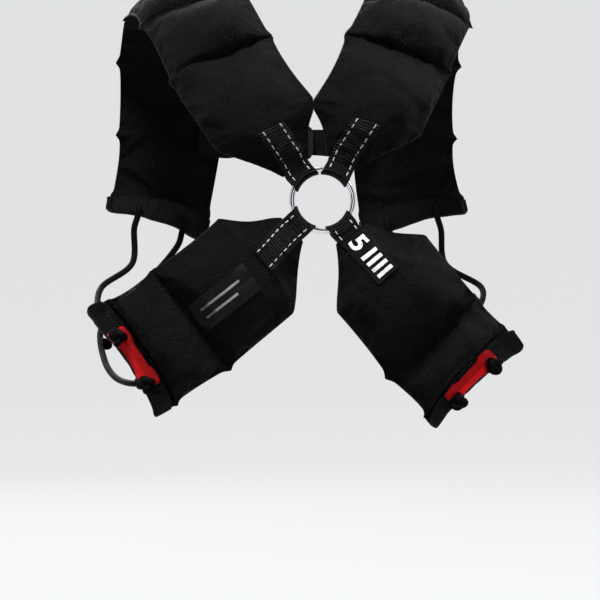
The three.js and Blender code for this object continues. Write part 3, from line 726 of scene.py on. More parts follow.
def hard(name, grain, patches, pair, roughness, bump, **values):
    """A hard finish: fine grain, and patches that change its colour and its roughness."""
    f = Finish(name, **values)
    fine, wear_and_highlight = f.noise(f.spot(), *grain), f.patches(*patches)
    return f.done(f.colours(wear_and_highlight, *pair), f.spread(wear_and_highlight, 0.0, 1.0, *roughness), f.bump(fine, *bump))


@cache
def ring_steel():
    """Polished steel wire with faint rubbed scratches."""
    pair = (0.82, 0.83, 0.84), (0.68, 0.69, 0.7)
    patches, bump = (60.0, 3.0, 0.35, 0.75), (0.00001, 0.2)
    return hard("ring_steel", (700.0, 4.0), patches, pair, (0.05, 0.12), bump, metallic=1.0)


@cache
def clasp_plastic():
    """Plain black moulded plastic with a fine spark-eroded grain."""
    pair, patches, bump = (grey(0.005), grey(0.008)), (80.0, 3.0, 0.3, 0.7), (0.00012, 0.5)
    rough = 0.38, 0.52
    return hard("clasp_plastic", (1800.0,), patches, pair, rough, bump, specular_ior_level=0.35)


@cache
def woven_label():
    """A smooth dark woven label with two plain grey lines where its maker's words would stand."""
    f = Finish("woven_label", sheen_weight=0.006, sheen_roughness=0.3, specular_ior_level=0.14)
    _, along, across = f.cloth()
    weave = f.plus(f.times(f.wave(across, 0.0005), 0.6), f.times(f.wave(along, 0.0007), 0.4))

    def bar(middle, start, end):
        inside = f.math("COMPARE", across, middle, 0.0011)
        return f.times(inside, f.math("COMPARE", along, (start + end) / 2, (end - start) / 2))

    lines = f.plus(bar(0.0102, 0.009, 0.05), bar(0.0186, 0.009, 0.043))
    ground = f.colours(f.times(weave, 0.6), grey(0.0014), grey(0.005))
    height = f.plus(f.times(weave, 0.5), lines)
    return f.done(f.colours(lines, ground, (0.3, 0.3, 0.31)),
                  f.patches(120.0, 2.0, 0.3, 0.7, 0.42, 0.6), f.bump(height, 0.00022, 0.7))


@cache
def printed_white():
    """Thick pale print, with the weave of the tape showing through it."""
    f = Finish("printed_white", specular_ior_level=0.35)
    grain, wear_and_highlight = f.noise(f.spot(), 1400.0, 3.0), f.patches(260.0, 4.0, 0.62, 0.74)
    colour = f.colours(f.times(wear_and_highlight, 0.5), (0.74, 0.75, 0.76), (0.25, 0.25, 0.26))
    return f.done(colour, f.spread(grain, 0.3, 0.7, 0.5, 0.7), f.bump(grain, 0.0002, 0.5))


def pale_stage():
    """A white paper sweep that glows evenly."""
    f = Finish("pale_stage", roughness=0.9, specular_ior_level=0.1,
               emission_strength=0.74, emission_color=(0.97, 0.985, 1.0, 1))
    tones = (0.1, 0.101, 0.102), (0.11, 0.111, 0.112)
    return f.done(f.colours(f.noise(f.spot(), 1.5), *tones))


# ---- Settings ----


def number(name, description, default, **limits):
    return bpy.props.FloatProperty(name=name, description=description, default=default, **limits)


def length(name, description, default):
    return number(name, description, default, unit="LENGTH", precision=4)


class PadSettings(bpy.types.PropertyGroup):
    pull_in: length("Pull-in", "How far a pad's sides draw in between two seams", 0.0022)
    ear: length("Seam ear", "How far a seam's ends stand out of the sides", 0.0028)
    overfill: length("Overfill", "Fuller than the plain form in the middle", 0.004)
    pucker: length("Pucker", "Height of the small folds beside a seam", 0.0012)
    slump: length("Slump", "Height of the broad unevenness of the fill", 0.0024)
    shelf: length("Shelf", "How far the fill above a seam hangs over it", 0.005)
    pressure: number("Pressure", "Pressure that swells the cloth", 4.0, min=0.0)
    swell: length("Swell", "Furthest that the cloth may swell", 0.005)


class TapeSettings(bpy.types.PropertyGroup):
    stitch_length: length("Stitch", "Length of one white stitch", 0.0042)
    stitch_width: length("Stitch width", "Width of one white stitch", 0.0013)
    stitch_pitch: length("Stitch pitch", "From one stitch to the next", 0.0061)
    stitch_rows: length("Rows apart", "Between the two rows of stitches", 0.0168)


class CordSettings(bpy.types.PropertyGroup):
    thickness: length("Thickness", "Diameter of the elastic cord", 0.006)
    knot: length("Knot", "Diameter of a knot on a back tab", 0.018)
    tail: length("Tail", "Length of cord past a knot", 0.012)


class StageSettings(bpy.types.PropertyGroup):
    floor: length("Floor", "Height of the floor", -0.6)
    distance: length("Camera distance", "From the camera to the ring", 2.6)
    lens: number("Lens", "Focal length", 174.7, unit="CAMERA")
    brightness: number("Light", "Strength of all lights", 1.0)


# ---- The pads ----

# A pad's skin: its end under the hem, its grid, how its fill settles and how fat it is.
SKIN_PAST_END = 6.0
SKIN_STEP = 2.4
SKIN_ROUND = 88
SETTLED_TOP, SETTLED_SHOULDER, SETTLED_SIDE = 1.3, 0.75, 1.15
FULL_POWER = 0.68
CROWN_POWERS = 3.2, 0.62
SEAM_SUNK, SEAM_SUNK_WIDTH = 0.45, 2.5
EAR_WIDTH = 4.0
TOUCH, TOUCH_WIDTH = 0.8, 20.0
SHELF_ABOVE, SHELF_WIDTH = 6.0, 7.0
SEAM_FADED, SEAM_FADED_WIDTH = 0.85, 16.0
# Rays that find a made skin start this far above the form.
CAST_FROM = 60.0
SWELL_FRAMES = 20
SWELL = {
    "quality": 5, "mass": 0.3, "tension_stiffness": 12, "compression_stiffness": 12,
    "bending_stiffness": 0.35, "shrink_min": -0.035, "vertex_group_mass": "sewn",
    "use_pressure": True,
}
# Cloth is held this near to a seam and to the pad's tip, and beyond this share of its width.
HELD_SEAM, HELD_TIP, HELD_EDGE = 2.0, 6.0, 0.985
SWELL_EASE = 9.0
PUCKER_EASE = 9.0
FOLD_DEPTH = 1.5


def fading(pad, s, share):
    """Where the left shoulder pad's lowest seam fades out, towards the wearer's arm."""
    beside = near(s - pad.seams[1], SEAM_FADED_WIDTH) * (pad.tag == "shoulder_left")
    return beside * smoothstep(share, -0.15, 0.7)


def pad_surface(pad, s, turn, settings):
    """A filled pad's skin: turn goes once round it, from its inner edge over the outside and back
    below. The fill has settled towards the lower end of each chamber."""
    share, over = -np.cos(turn), np.sin(turn)
    chamber, t = pad.chamber_share(s)
    settled = SETTLED_SIDE
    if pad.place == "shoulder":
        settled = np.where(chamber == 0, SETTLED_TOP, SETTLED_SHOULDER)
    full = np.maximum(np.sin(np.pi * t**settled), 0) ** FULL_POWER
    full = full + (1 - full) * SEAM_FADED * fading(pad, s, share)
    seam_near, tapered = pad.seam_near(s, 1), pad.tip + PAD_TAPER
    touching = near(s - tapered, TOUCH_WIDTH) * (share < 0) * pad.meets
    free = pad.half_width(s) - settings.pull_in / MM * full * (1 - touching)
    free = free + settings.ear / MM * near(seam_near, EAR_WIDTH) * (s > tapered)
    half = np.where(share < 0, np.minimum(free, pad.inner_half_width(s) + TOUCH), free)
    crown = crowned(share, *CROWN_POWERS)
    thick = PAD_SEAM * (1 - SEAM_SUNK * near(seam_near, SEAM_SUNK_WIDTH))
    thick = thick + (pad.full + settings.overfill / MM - PAD_SEAM) * full * crown
    middle = pad.bottom(s, share) + (PAD_SEAM + 2 * thick) / 4
    return share * half, middle + np.sign(over) * np.abs(over) ** 0.6 * thick / 2, share


def hanging(pad, s, turn, settings):
    """How far the fill above a seam on the back hangs down over it."""
    if pad.place == "side":
        return 0 * s
    over = np.maximum(np.sin(turn), 0) ** 0.5
    above = sum(
        near(s - seam - SHELF_ABOVE, SHELF_WIDTH) * (s > seam) for seam in pad.seams[1:3]
    )
    return above * over * (1 - fading(pad, s, -np.cos(turn))) * settings.shelf / MM


def make_pad(pad, settings):
    last = pad.end + SKIN_PAST_END
    rows = int((last - pad.tip) / SKIN_STEP)
    even = np.linspace(pad.tip, last, rows + 1)
    for mark in (*pad.seams, last):
        even[np.argmin(np.abs(even - mark))] = mark
    state = {}

    def place(u, v):
        s, turn = even[np.rint(u * rows).astype(int)], 2 * np.pi * v
        w, h, share = pad_surface(pad, s, turn, settings)
        state.update(s=s, w=w, share=share, over=np.sin(turn))
        return pad.bed.at(s - hanging(pad, s, turn, settings), w, h)

    size = (last - pad.tip, 2.1 * pad.width)
    piece = laid_grid(pad.name + "_canvas", rows, SKIN_ROUND, place, size)
    for key, values in state.items():
        write(piece, key, values)
    face_out(piece)
    close_ends(piece)
    swell(pad, piece, settings)
    add_detail(pad, piece, settings)
    return piece


def close_ends(piece):
    """Closes a tube's two open ends, each with one face split into triangles."""
    mesh = bpy.ops.mesh
    edit(piece, (mesh.select_all, {"action": "DESELECT"}), (mesh.select_non_manifold, {}),
         (mesh.fill, {"use_beauty": True}))
    face_out(piece)


def swell(pad, piece, settings):
    """Blows the cloth up between its sewn seams, so that it pulls into its own small folds."""
    s, share = read(piece, "s"), read(piece, "share")
    seam_near = pad.seam_near(s) + 14 * fading(pad, s, share)
    held = (seam_near < HELD_SEAM) | (np.abs(share) > HELD_EDGE)
    held = held | (s > pad.end) | (s < pad.tip + HELD_TIP)
    group = piece.vertex_groups.new(name=SWELL["vertex_group_mass"])
    group.add([int(i) for i in np.flatnonzero(held)], 1.0, "REPLACE")
    before = coordinates(piece)
    only(piece)
    cloth = piece.modifiers.new("Cloth", "CLOTH")
    for key, value in SWELL.items():
        setattr(cloth.settings, key, value)
    cloth.settings.uniform_pressure_force = settings.pressure
    cloth.settings.effector_weights.gravity = 0.0
    cloth.point_cache.frame_start, cloth.point_cache.frame_end = 1, SWELL_FRAMES
    for step in range(1, SWELL_FRAMES + 1):
        bpy.context.scene.frame_set(step)
    bpy.ops.object.modifier_apply(modifier=cloth.name)
    bpy.context.scene.frame_set(1)
    moved = coordinates(piece) - before
    far = np.linalg.norm(moved, axis=1, keepdims=True)
    limit = settings.swell * (1 - np.exp(-seam_near / SWELL_EASE))[:, None]
    set_coordinates(piece, before + moved * np.minimum(1, limit / np.maximum(far, 1e-9)))
    piece.vertex_groups.clear()


def add_detail(pad, piece, settings):
    """Slump of the fill, folds and puckers, and the painted seam highlight and rubbed edges the
    finish reads.
    """
    s, w, share, over = (read(piece, key) for key in ("s", "w", "share", "over"))
    seed = 11.0 * PADS.index(pad)
    flat = np.stack((s, w, np.sign(over) * 40), -1)
    full, seam_near = pad.fullness(s), pad.seam_near(s)
    broad = ripple(flat, 34.0, seed) * settings.slump / MM * full
    crease = np.maximum(1 - np.abs(ripple(flat * (0.7, 1, 1), 23.0, seed + 3)) * 3, 0) ** 2
    fold = crease * -FOLD_DEPTH * full
    pucker = ripple(flat * (0.3, 1, 1), 7.0, seed + 7) * settings.pucker / MM * 2
    pucker = pucker * np.exp(-seam_near / PUCKER_EASE) * smoothstep(seam_near, 0, 3)
    inside = (1 - np.abs(share) ** 6) * np.minimum(1, np.abs(over) * 3)
    lift = (broad + fold + pucker) * inside * np.where(over > 0, 1, 0.3)
    normals = np.empty(len(piece.data.vertices) * 3, np.float32)
    piece.data.vertices.foreach_get("normal", normals)
    set_coordinates(piece, coordinates(piece) + normals.reshape(-1, 3) * lift[:, None] * MM)
    # painted highlight on the fill beside each seam, and a little rubbed wear along the pad's edges
    wear_and_highlight = near(seam_near - 6, 4) * 0.6 + np.abs(share) ** 16 * 0.12
    write(piece, "wear_and_highlight", np.clip(wear_and_highlight, 0, 1))


class VEST_OT_pads(bpy.types.Operator):
    """Makes the four filled pads and swells them between their seams"""

    bl_idname = "vest.pads"
    bl_label = "Filled pads"

    def execute(self, context):
        for pad in PADS:
            piece = make_pad(pad, context.scene.vest_pads)
            finish_piece(piece, pad_canvas(), (pad.name,))
        return {"FINISHED"}


@cache
def made_skin(name):
    mesh = bpy.data.objects[name].data
    return BVHTree.FromPolygons([v.co for v in mesh.vertices], [p.vertices for p in mesh.polygons])


def made_top(pad, s, w):
    """Height of the made pad's outside where something is sewn to it, evened out as a stiff tape
    does. Where a ray misses the skin, the plain form stands in."""
    s, w = np.broadcast_arrays(np.asarray(s, float), np.asarray(w, float))
    heights = []
    for ds, dw in ((0, 0), (3, 0), (-3, 0), (0, 3), (0, -3)):
        high, low = (to_row(pad.bed.at(s + ds, w + dw, h)) for h in (CAST_FROM, 0.0))
        plain = pad.top_at(s + ds, w + dw)
        found = []
        for start, end, otherwise in zip(high.reshape(-1, 3), low.reshape(-1, 3), plain.ravel()):
            hit = made_skin(pad.name + "_canvas").ray_cast(Vector(start), Vector(end - start))
            found.append(otherwise if hit[0] is None else CAST_FROM - hit[3] / MM)
        heights.append(np.array(found).reshape(s.shape))
    return np.maximum(heights[0], np.mean(heights, axis=0))


# ---- The ring ----


class VEST_OT_ring(bpy.types.Operator):
    """Makes the polished ring in the middle of the back"""

    bl_idname = "vest.ring"
    bl_label = "Steel ring"

    def execute(self, context):
        piece = added("back_ring_wire", bpy.ops.mesh.primitive_torus_add,
                      major_radius=RING_RADIUS * MM, minor_radius=RING_WIRE / 2 * MM,
                      major_segments=128, minor_segments=28)
        turn = Vector((0, 0, 1)).rotation_difference(Vector(RING_OUT)).to_matrix().to_4x4()
        middle = Vector(to_row(RING_SEAT + RING_OUT * RING_STANDS_OFF))
        piece.data.transform(Matrix.Translation(middle) @ turn)
        finish_piece(piece, ring_steel(), ("back_ring",))
        return {"FINISHED"}


# ---- Tape round the ring, with its white stitches ----

TAPE_BEND = RING_WIRE / 2 + CLEARANCE
TAPE_ROUND_WIRE = 15.0
TAPE_STEP, TAPE_ROWS = 0.9, 22
CRINKLE = 0.9
FRAYED = 0.035
STITCH_FROM_END = 3.2
STITCH_LIFT, STITCH_HEIGHT = 0.1, 0.9


def tape_bottom(pad, s, w):
    """Height of a ring tape's lower face, from the wire to the made pad. Small folds cross it where
    it is pulled tight."""
    ease, on_wire = smoothstep(s, RING_RIM - 1, pad.tip - 1), RING_STANDS_OFF + TAPE_BEND
    folds = ripple(np.stack((s, w * 0.3, 0 * s), -1), 5.0, 3.0 * PADS.index(pad))
    folds = folds * CRINKLE * smoothstep(s, RING_RIM - 3, RING_RIM + 3)
    return on_wire + (made_top(pad, s, w) + SEWN_GAP - on_wire) * ease + folds


def loop_surface(pad, u, v):
    """Points of the tape round the ring: u from its outer end round the wire to its inner end."""
    w = (v - 0.5) * TAPE_WIDTH
    wire, half = np.sqrt(RING_RADIUS**2 - w**2), TAPE_THICKNESS / 2
    reach = TAPE_BEND + half
    outer_end, inner_end = RING_RIM + pad.outer_leg, RING_RIM + LOOP_INNER_LEG
    legs = pad.outer_leg + RING_WIRE / 2, np.pi * TAPE_BEND, LOOP_INNER_LEG + RING_WIRE / 2
    run = u * sum(legs)
    first = np.clip(run / legs[0], 0, 1)
    turn = np.clip((run - legs[0]) / legs[1], 0, 1) * np.pi
    last = np.clip((run - legs[0] - legs[1]) / legs[2], 0, 1)
    parts = [run <= legs[0], last > 0]
    s = np.select(
        parts, [outer_end + (wire - outer_end) * first, wire + (inner_end - wire) * last],
        wire - np.sin(turn) * reach * RING_RADIUS / wire,
    )
    on_low = RING_STANDS_OFF - TAPE_BEND
    ease = smoothstep(s, RING_RIM - 1, pad.tip - 1)
    under = on_low + (pad.rest(s) - CLEARANCE - on_low) * ease - half
    around = RING_STANDS_OFF + np.cos(turn) * reach
    h = np.select(parts, [tape_bottom(pad, s, w) + half, under], around)
    frayed = 1 + FRAYED * ripple(np.stack((s, 0 * s, 9 + 0 * s), -1), 6.0, PADS.index(pad))
    return pad.bed.at(s, w * frayed, h)


def make_loop(pad):
    total = pad.outer_leg + LOOP_INNER_LEG + TAPE_ROUND_WIRE
    return sheet(f"tape_loop_{pad.tag}", int(total / TAPE_STEP), TAPE_ROWS,
                 lambda u, v: loop_surface(pad, u, v), (total, TAPE_WIDTH), TAPE_THICKNESS)


def loop_stitches(pad, settings):
    """The two rows of white stitches along a loop's outer leg, each a small rounded stick."""
    name, end = f"loop_stitches_{pad.tag}", RING_RIM + pad.outer_leg
    starts = np.arange(end - STITCH_FROM_END, RING_RIM, -settings.stitch_pitch / MM)
    spots = [(s, side * settings.stitch_rows / MM / 2) for side in (-1, 1) for s in starts]
    ball = {"segments": 10, "ring_count": 7, "radius": 0.5}
    copies = [added(name, bpy.ops.mesh.primitive_uv_sphere_add, **ball)]
    x, y, z = coordinates(copies[0]).T
    # the poles lie at the stitch's two ends, a little squared
    long = np.sign(z) * np.abs(z * 2) ** 0.7 / 2 * settings.stitch_length / MM
    for _ in spots[1:]:
        copies.append(copies[0].copy())
        copies[-1].data = copies[0].data.copy()
        bpy.context.collection.objects.link(copies[-1])
    for copy, (s, w) in zip(copies, spots):
        s, w = s + long, w + x * settings.stitch_width / MM
        h = tape_bottom(pad, s, w) + TAPE_THICKNESS + STITCH_LIFT + y * STITCH_HEIGHT
        set_coordinates(copy, to_row(pad.bed.at(s, w, h)))
    piece = join(copies, name)
    face_out(piece)
    return piece


class VEST_OT_loops(bpy.types.Operator):
    """Makes the four tapes folded round the ring, each with two rows of white stitches"""

    bl_idname = "vest.loops"
    bl_label = "Ring tapes"

    def execute(self, context):
        for pad in PADS:
            node = f"ring_loop_{pad.tag}"
            finish_piece(make_loop(pad), ribbed_tape("loop_tape"), (node,), angle=50)
            finish_piece(loop_stitches(pad, context.scene.vest_tapes), white_thread())
        return {"FINISHED"}


# ---- Hems and red tabs ----

HEM_GRID = 54, 1.1
HEM_OPENED = 1.1
TAB_GRID = 90, 30
TAB_ROUNDED = 1.6
TAB_SEWN_THICKNESS = 1.7


def hem_surface(pad, u, v):
    """The folded tape over a pad's end: u across the tape from its outer edge, v along it. Its two
    ends roll in and stand open, its outer edge lifts, and it bulges and crumples."""
    reach = HEM_HALF + TAPE_THICKNESS / 2
    start, fold = pad.end + SEWN_GAP, pad.end + HEM_WIDTH - HEM_HALF - TAPE_THICKNESS
    leg = fold - start
    run = u * (2 * leg + np.pi * reach)
    side = v * 2 - 1
    flare, opened, rolled = (np.abs(side) ** power for power in (6, 9, 18))
    turn = np.clip((run - leg) / reach, 0, np.pi)
    past = np.maximum(run - leg - np.pi * reach, 0)
    s = np.where(run < leg, start + run, fold - past) + np.sin(turn) * reach
    seed = 5.0 * PADS.index(pad)
    spots = np.stack((s * 0.35, side * 50, turn * 3), -1)
    s = s + ripple(spots, 13.0, seed + 4) * 1.3 - (s - (start + fold) / 2) * rolled * 0.3
    w = side * pad.half_width(np.array(pad.end)) * HEM_FLARE
    w = w - np.sign(side) * rolled * 2.5 * np.abs(np.sin(turn / 2))
    lip = near(run, 3.0) * 1.1
    crumple = ripple(spots, 8.0, seed) * 1.3 * np.where(turn > np.pi / 2, -0.25, 0.75)
    bulge = ripple(np.stack((s, side * 50, turn), -1), 24.0, seed + 2) * (0.6 + 1.2 * flare)
    h = pad.hem + np.cos(turn) * reach * (1 + HEM_OPENED * opened) + flare * 1.5
    return pad.bed.at(s, w, h + lip + crumple + bulge)


def make_hem(pad):
    span, (across, step) = 2 * pad.half_width(np.array(pad.end)) * HEM_FLARE, HEM_GRID
    return sheet(f"hem_tape_{pad.tag}", across, int(span / step),
                 lambda u, v: hem_surface(pad, u, v), (2 * HEM_WIDTH, span), TAPE_THICKNESS)


def make_tab(pad):
    """The bone-shaped red tab, raised along its middle and rolled down at its edges."""
    middle, low = pad.holes, pad.hem_top + CLEARANCE
    state = {}

    def place(u, v):
        side, across = u * 2 - 1, v * 2 - 1
        broader = (TAB_END_WIDTH - TAB_WAIST_WIDTH) * smoothstep(np.abs(side), 0.35, 0.62)
        rounded = TAB_ROUNDED * np.maximum(np.abs(side) - 0.93, 0) / 0.07
        s = middle + across * ((TAB_WAIST_WIDTH + broader) / 2 - rounded)
        w = side * TAB_WORN_LENGTH / 2 + TAB_SLIPPED * (pad.place == "side")
        dome = TAB_DOME * (1 - np.abs(across) ** 1.3) + TAB_THICKNESS - 0.9 * np.abs(across) ** 10
        wavy = ripple(np.stack((side * 33, across * 9, across * 0), -1), 7.0, 9.0 * PADS.index(pad))
        # mask of the painted shade on the half of the tab turned to the pad
        state["inner"] = smoothstep(-across, -0.02, 0.12)
        return pad.bed.at(s, w, low + dome + wavy * 0.35)

    piece = laid_grid(f"red_tab_tape_{pad.tag}", *TAB_GRID, place, (TAB_LENGTH, TAB_END_WIDTH))
    write(piece, "shaded_inner_half", state["inner"])
    out = Vector(pad.bed.ways(middle)[3])
    faces_out = piece.data.polygons[len(piece.data.polygons) // 2].normal.dot(out) > 0
    offset = -1.0 if faces_out else 1.0
    apply(piece, "SOLIDIFY", thickness=TAB_SEWN_THICKNESS * MM, offset=offset)
    face_out(piece)
    return piece


class VEST_OT_hems(bpy.types.Operator):
    """Makes the folded tape over each pad's free end and the red tab sewn on it"""

    bl_idname = "vest.hems"
    bl_label = "Hems and red tabs"

    def execute(self, context):
        for pad in PADS:
            hem, tab = f"hem_{pad.tag}", f"red_tab_{pad.tag}"
            finish_piece(make_hem(pad), ribbed_tape("hem_tape"), (hem,), angle=50)
            finish_piece(make_tab(pad), red_tape(), (tab,), angle=55)
        return {"FINISHED"}


# ---- Cords and their knots ----

KNOT_SUNK = 1.4
KNOT_STRAND = 0.165
INNER_KNOT_STRAND = 2.2


def inner_knot_place(sign, back, end):
    past = INNER_KNOT_PAST[sign]
    low = CORD_RADIUS + 2 * CLEARANCE if past else CLEARANCE + INNER_KNOT_DIAMETER / 2
    return back.bed.at(back.holes + past, end * HOLE_SPACING / 2, back.hem_low - low)


def cord_route(sign, back, front):
    """The points that one cord follows, from its upper knot round the flank to the front tab and
    back to its lower one."""

    def under(pad):
        return pad.hem_low - CORD_RADIUS - 2 * CLEARANCE

    def spot(pad, end, past, h):
        return pad.bed.at(pad.holes + past, end * HOLE_SPACING / 2, h)

    def bend(pad, end):
        ways = [(1 - math.cos(a), 1 - math.sin(a)) for a in np.radians((0, 45, 90))]
        return [spot(pad, end, CORD_BEND * x, under(pad) + CORD_BEND * y) for x, y in ways]

    def strand(end):
        round_flank = []
        for turn, upper, lower, left_in, right_in in CORD_ROUTE:
            skin = on_flank(sign, turn, (upper if end < 0 else lower) * FORM_HALF[2])
            slimmer = left_in if sign < 0 else right_in
            round_flank.append(skin + outward(skin) * (CORD_RADIUS - slimmer * FORM_HALF[1]))
        return [
            spot(back, end, 0, back.tab_top),
            spot(back, end, 0, back.hem_low + TAPE_THICKNESS),
            *(bend(back, end) if INNER_KNOT_PAST[sign] else ()),
            inner_knot_place(sign, back, end),
            *round_flank,
            spot(front, -end, 24, under(front)),
            spot(front, -end, 12, under(front)),
            *bend(front, -end)[::-1],
            spot(front, -end, 0, front.hem_low + TAPE_THICKNESS),
            spot(front, -end, 0, front.hem_top),
            spot(front, -end, 0, front.tab_top),
            spot(front, -end * 0.8, 0, front.tab_top + CORD_RADIUS + 2),
        ]

    return strand(-1) + strand(1)[::-1]


def knot_path(middle, out, aside, size, tail, turned):
    """An overhand knot, pulled tight: one strand comes up under it and its tail leaves to one
    side."""
    strand = size * 0.16
    other = np.cross(out, aside)
    t = np.linspace(0.3, 2 * np.pi - 0.25, 90)
    x, y = np.sin(t) + 2 * np.sin(2 * t), np.cos(t) - 2 * np.cos(2 * t)
    c, s = math.cos(turned), math.sin(turned)
    plane = np.outer(x * c - y * s, aside) + np.outer(x * s + y * c, other)
    loop = middle + plane * (size / 2 - strand) / 3 + np.outer(-np.sin(3 * t) * strand * 0.95, out)
    leave = unit(loop[-1] - loop[-2])
    drop = -out * (size * KNOT_FLAT / 2)
    into = [middle + drop * 1.1, middle + drop * 0.55 + (loop[0] - middle) * 0.4]
    steps = 0.2 * tail, 0.5 * tail, tail
    ends = [loop[-1] + leave * d + out * (1.2 - 0.05 * d * d) for d in steps]
    return resampled(np.vstack((into, loop[::3], ends)), 0.8)


def make_cord(side, settings):
    back, front = SIDES[side], SHOULDERS[side]
    route = resampled(cord_route(back.sign, back, front), 1.3)
    pieces = [round_cord(f"elastic_{side}", route, settings.thickness / MM / 2)]
    _, across, along, out = back.bed.ways(back.holes)
    size, (slip_s, slip_w) = settings.knot / MM, KNOT_SLIP[side]
    for end in (-1, 1):
        high = back.tab_top + size * KNOT_FLAT / 2 - KNOT_SUNK
        seat = back.bed.at(back.holes + slip_s, end * HOLE_SPACING / 2 + slip_w, high)
        tail, turned = (settings.tail / MM + 3, 2.3) if end > 0 else (settings.tail / MM, 0.6)
        path = knot_path(seat, out, unit(along + across * 0.3 * end), size, tail, turned)
        pieces.append(round_cord(f"knot_{side}_{end}", path, size * KNOT_STRAND))
        inner = inner_knot_place(back.sign, back, end)
        path = knot_path(inner, unit(along), out, INNER_KNOT_DIAMETER + 0.5, 4.0, 0.4)
        pieces.append(round_cord(f"inner_knot_{side}_{end}", path, INNER_KNOT_STRAND))
    return join(pieces, f"elastic_cord_{side}")


class VEST_OT_cords(bpy.types.Operator):
    """Makes the elastic cord round each flank, with its overhand knots"""

    bl_idname = "vest.cords"
    bl_label = "Elastic cords"

    def execute(self, context):
        for side in SIDES:
            piece = make_cord(side, context.scene.vest_cords)
            finish_piece(piece, braided_cord(), (f"side_cord_{side}",))
        return {"FINISHED"}


# ---- Labels ----

# Each label's distance from the ring's rim, its size, its thickness and its middle's height.
BADGE_FROM, BADGE_SIZE, BADGE_THICKNESS, BADGE_LIFT = 62.0, (61.0, 28.5), 0.6, 0.45
BADGE_ASIDE = 4.0
NUMBER_FROM, NUMBER_SIZE, NUMBER_THICKNESS, NUMBER_LIFT = 10.0, (46.0, TAPE_WIDTH), 0.7, 0.35
PRINT_HEIGHT = 16.5
FIGURE_FROM, FIGURE_LIFT, FIGURE_FLATTENED = 8.5, 0.85, 0.6
BARS_FROM, BAR_PITCH, BAR_WIDTH, BARS = 19.5, 6.5, 3.4, 4
BAR_LIFT, BAR_THICKNESS = 0.95, 0.3


def on_pad(pad, s, w, lift):
    return pad.bed.at(s, w, made_top(pad, s, w) + SEWN_GAP + lift)


class VEST_OT_labels(bpy.types.Operator):
    """Makes the woven label on the left pad and the marked tape with its number on the right pad"""

    bl_idname = "vest.labels"
    bl_label = "Labels"

    def execute(self, context):
        self.badge(SIDES["left"])
        self.number_tape(SIDES["right"])
        return {"FINISHED"}

    def badge(self, pad):
        end, (long, wide) = RING_RIM + BADGE_FROM + BADGE_SIZE[0], BADGE_SIZE
        low = BADGE_ASIDE - wide / 2
        badge = sheet("woven_badge", 62, 30,
                      lambda u, v: on_pad(pad, end - long * u, low + wide * v, BADGE_LIFT),
                      BADGE_SIZE, BADGE_THICKNESS)
        finish_piece(badge, woven_label(), ("badge_label",), angle=50)

    def number_tape(self, pad):
        start, (long, wide) = RING_RIM + NUMBER_FROM, NUMBER_SIZE
        tape = sheet("number_tape", 50, 26,
                     lambda u, v: on_pad(pad, start + long * u, (v - 0.5) * wide, NUMBER_LIFT),
                     NUMBER_SIZE, NUMBER_THICKNESS)
        finish_piece(tape, ribbed_tape("number_tape"), ("size_label",), angle=50)

        def bar(k):
            left, size = start + BARS_FROM + BAR_PITCH * k, (BAR_WIDTH, PRINT_HEIGHT)
            return sheet(f"bar_{k}", 6, 16, lambda u, v: on_pad(
                pad, left + u * BAR_WIDTH, (v - 0.5) * PRINT_HEIGHT, BAR_LIFT
            ), size, BAR_THICKNESS)

        figure = self.figure(pad, start + FIGURE_FROM)
        piece = join([figure, *map(bar, range(BARS))], "printed_number")
        face_out(piece)
        finish_piece(piece, printed_white(), angle=40)

    def figure(self, pad, middle):
        """The plain number five, laid on the tape."""
        figure = added("figure", bpy.ops.object.text_add)
        figure.data.body = "5"
        figure.data.size = 20.0
        figure.data.offset = 0.55
        figure.data.resolution_u = 6
        figure.data.extrude = 0.25
        bpy.ops.object.convert(target="MESH")
        mesh = bpy.ops.mesh
        edit(figure, (mesh.remove_doubles, {"threshold": 1e-4}),
             (mesh.quads_convert_to_tris, {}), (mesh.subdivide, {"number_cuts": 2}))
        co = coordinates(figure)
        flat = co[:, :2] - (co[:, :2].max(0) + co[:, :2].min(0)) / 2
        x, y = (flat / np.ptp(co[:, 1]) * PRINT_HEIGHT).T
        lift = FIGURE_LIFT + co[:, 2] * FIGURE_FLATTENED
        set_coordinates(figure, to_row(on_pad(pad, middle + x, -y, lift)))
        return figure


# ---- The closure in front ----

STRAP_SEWN = 0.4
STRAP_LENGTH = 95.0
# The clasp's rim, the groove in it and its press field: each is inset from the faces below a
# height, by so much and to such a depth.
CLASP_INSETS = (CLASP_THICKNESS, 4.5, 0.0), (CLASP_THICKNESS, 0.6, -0.8), (3.9, 0.8, 0.4)


def clasp_seat():
    """The middle of the clasp, and its across, up and out directions."""
    pad = SHOULDERS["left"]
    sewn = pad.bed.ways(pad.tip + (pad.end - pad.tip) * STRAP_DOWN_PAD)[0]
    skin = on_flank(1, 180, sewn[2])
    out, across = outward(skin), np.array((1.0, 0.0, 0.0))
    return skin + out * (CLASP_STANDS_OFF + CLASP_THICKNESS / 2), across, np.cross(out, across), out


def level_with(height, pad):
    """The distance along a pad's front where it lies at a height."""
    s = pad.tip + (pad.end - pad.tip) * STRAP_DOWN_PAD
    for _ in range(20):
        middle, _, along, _ = pad.bed.ways(s)
        s += (middle[2] - height) / -along[2]
    return s


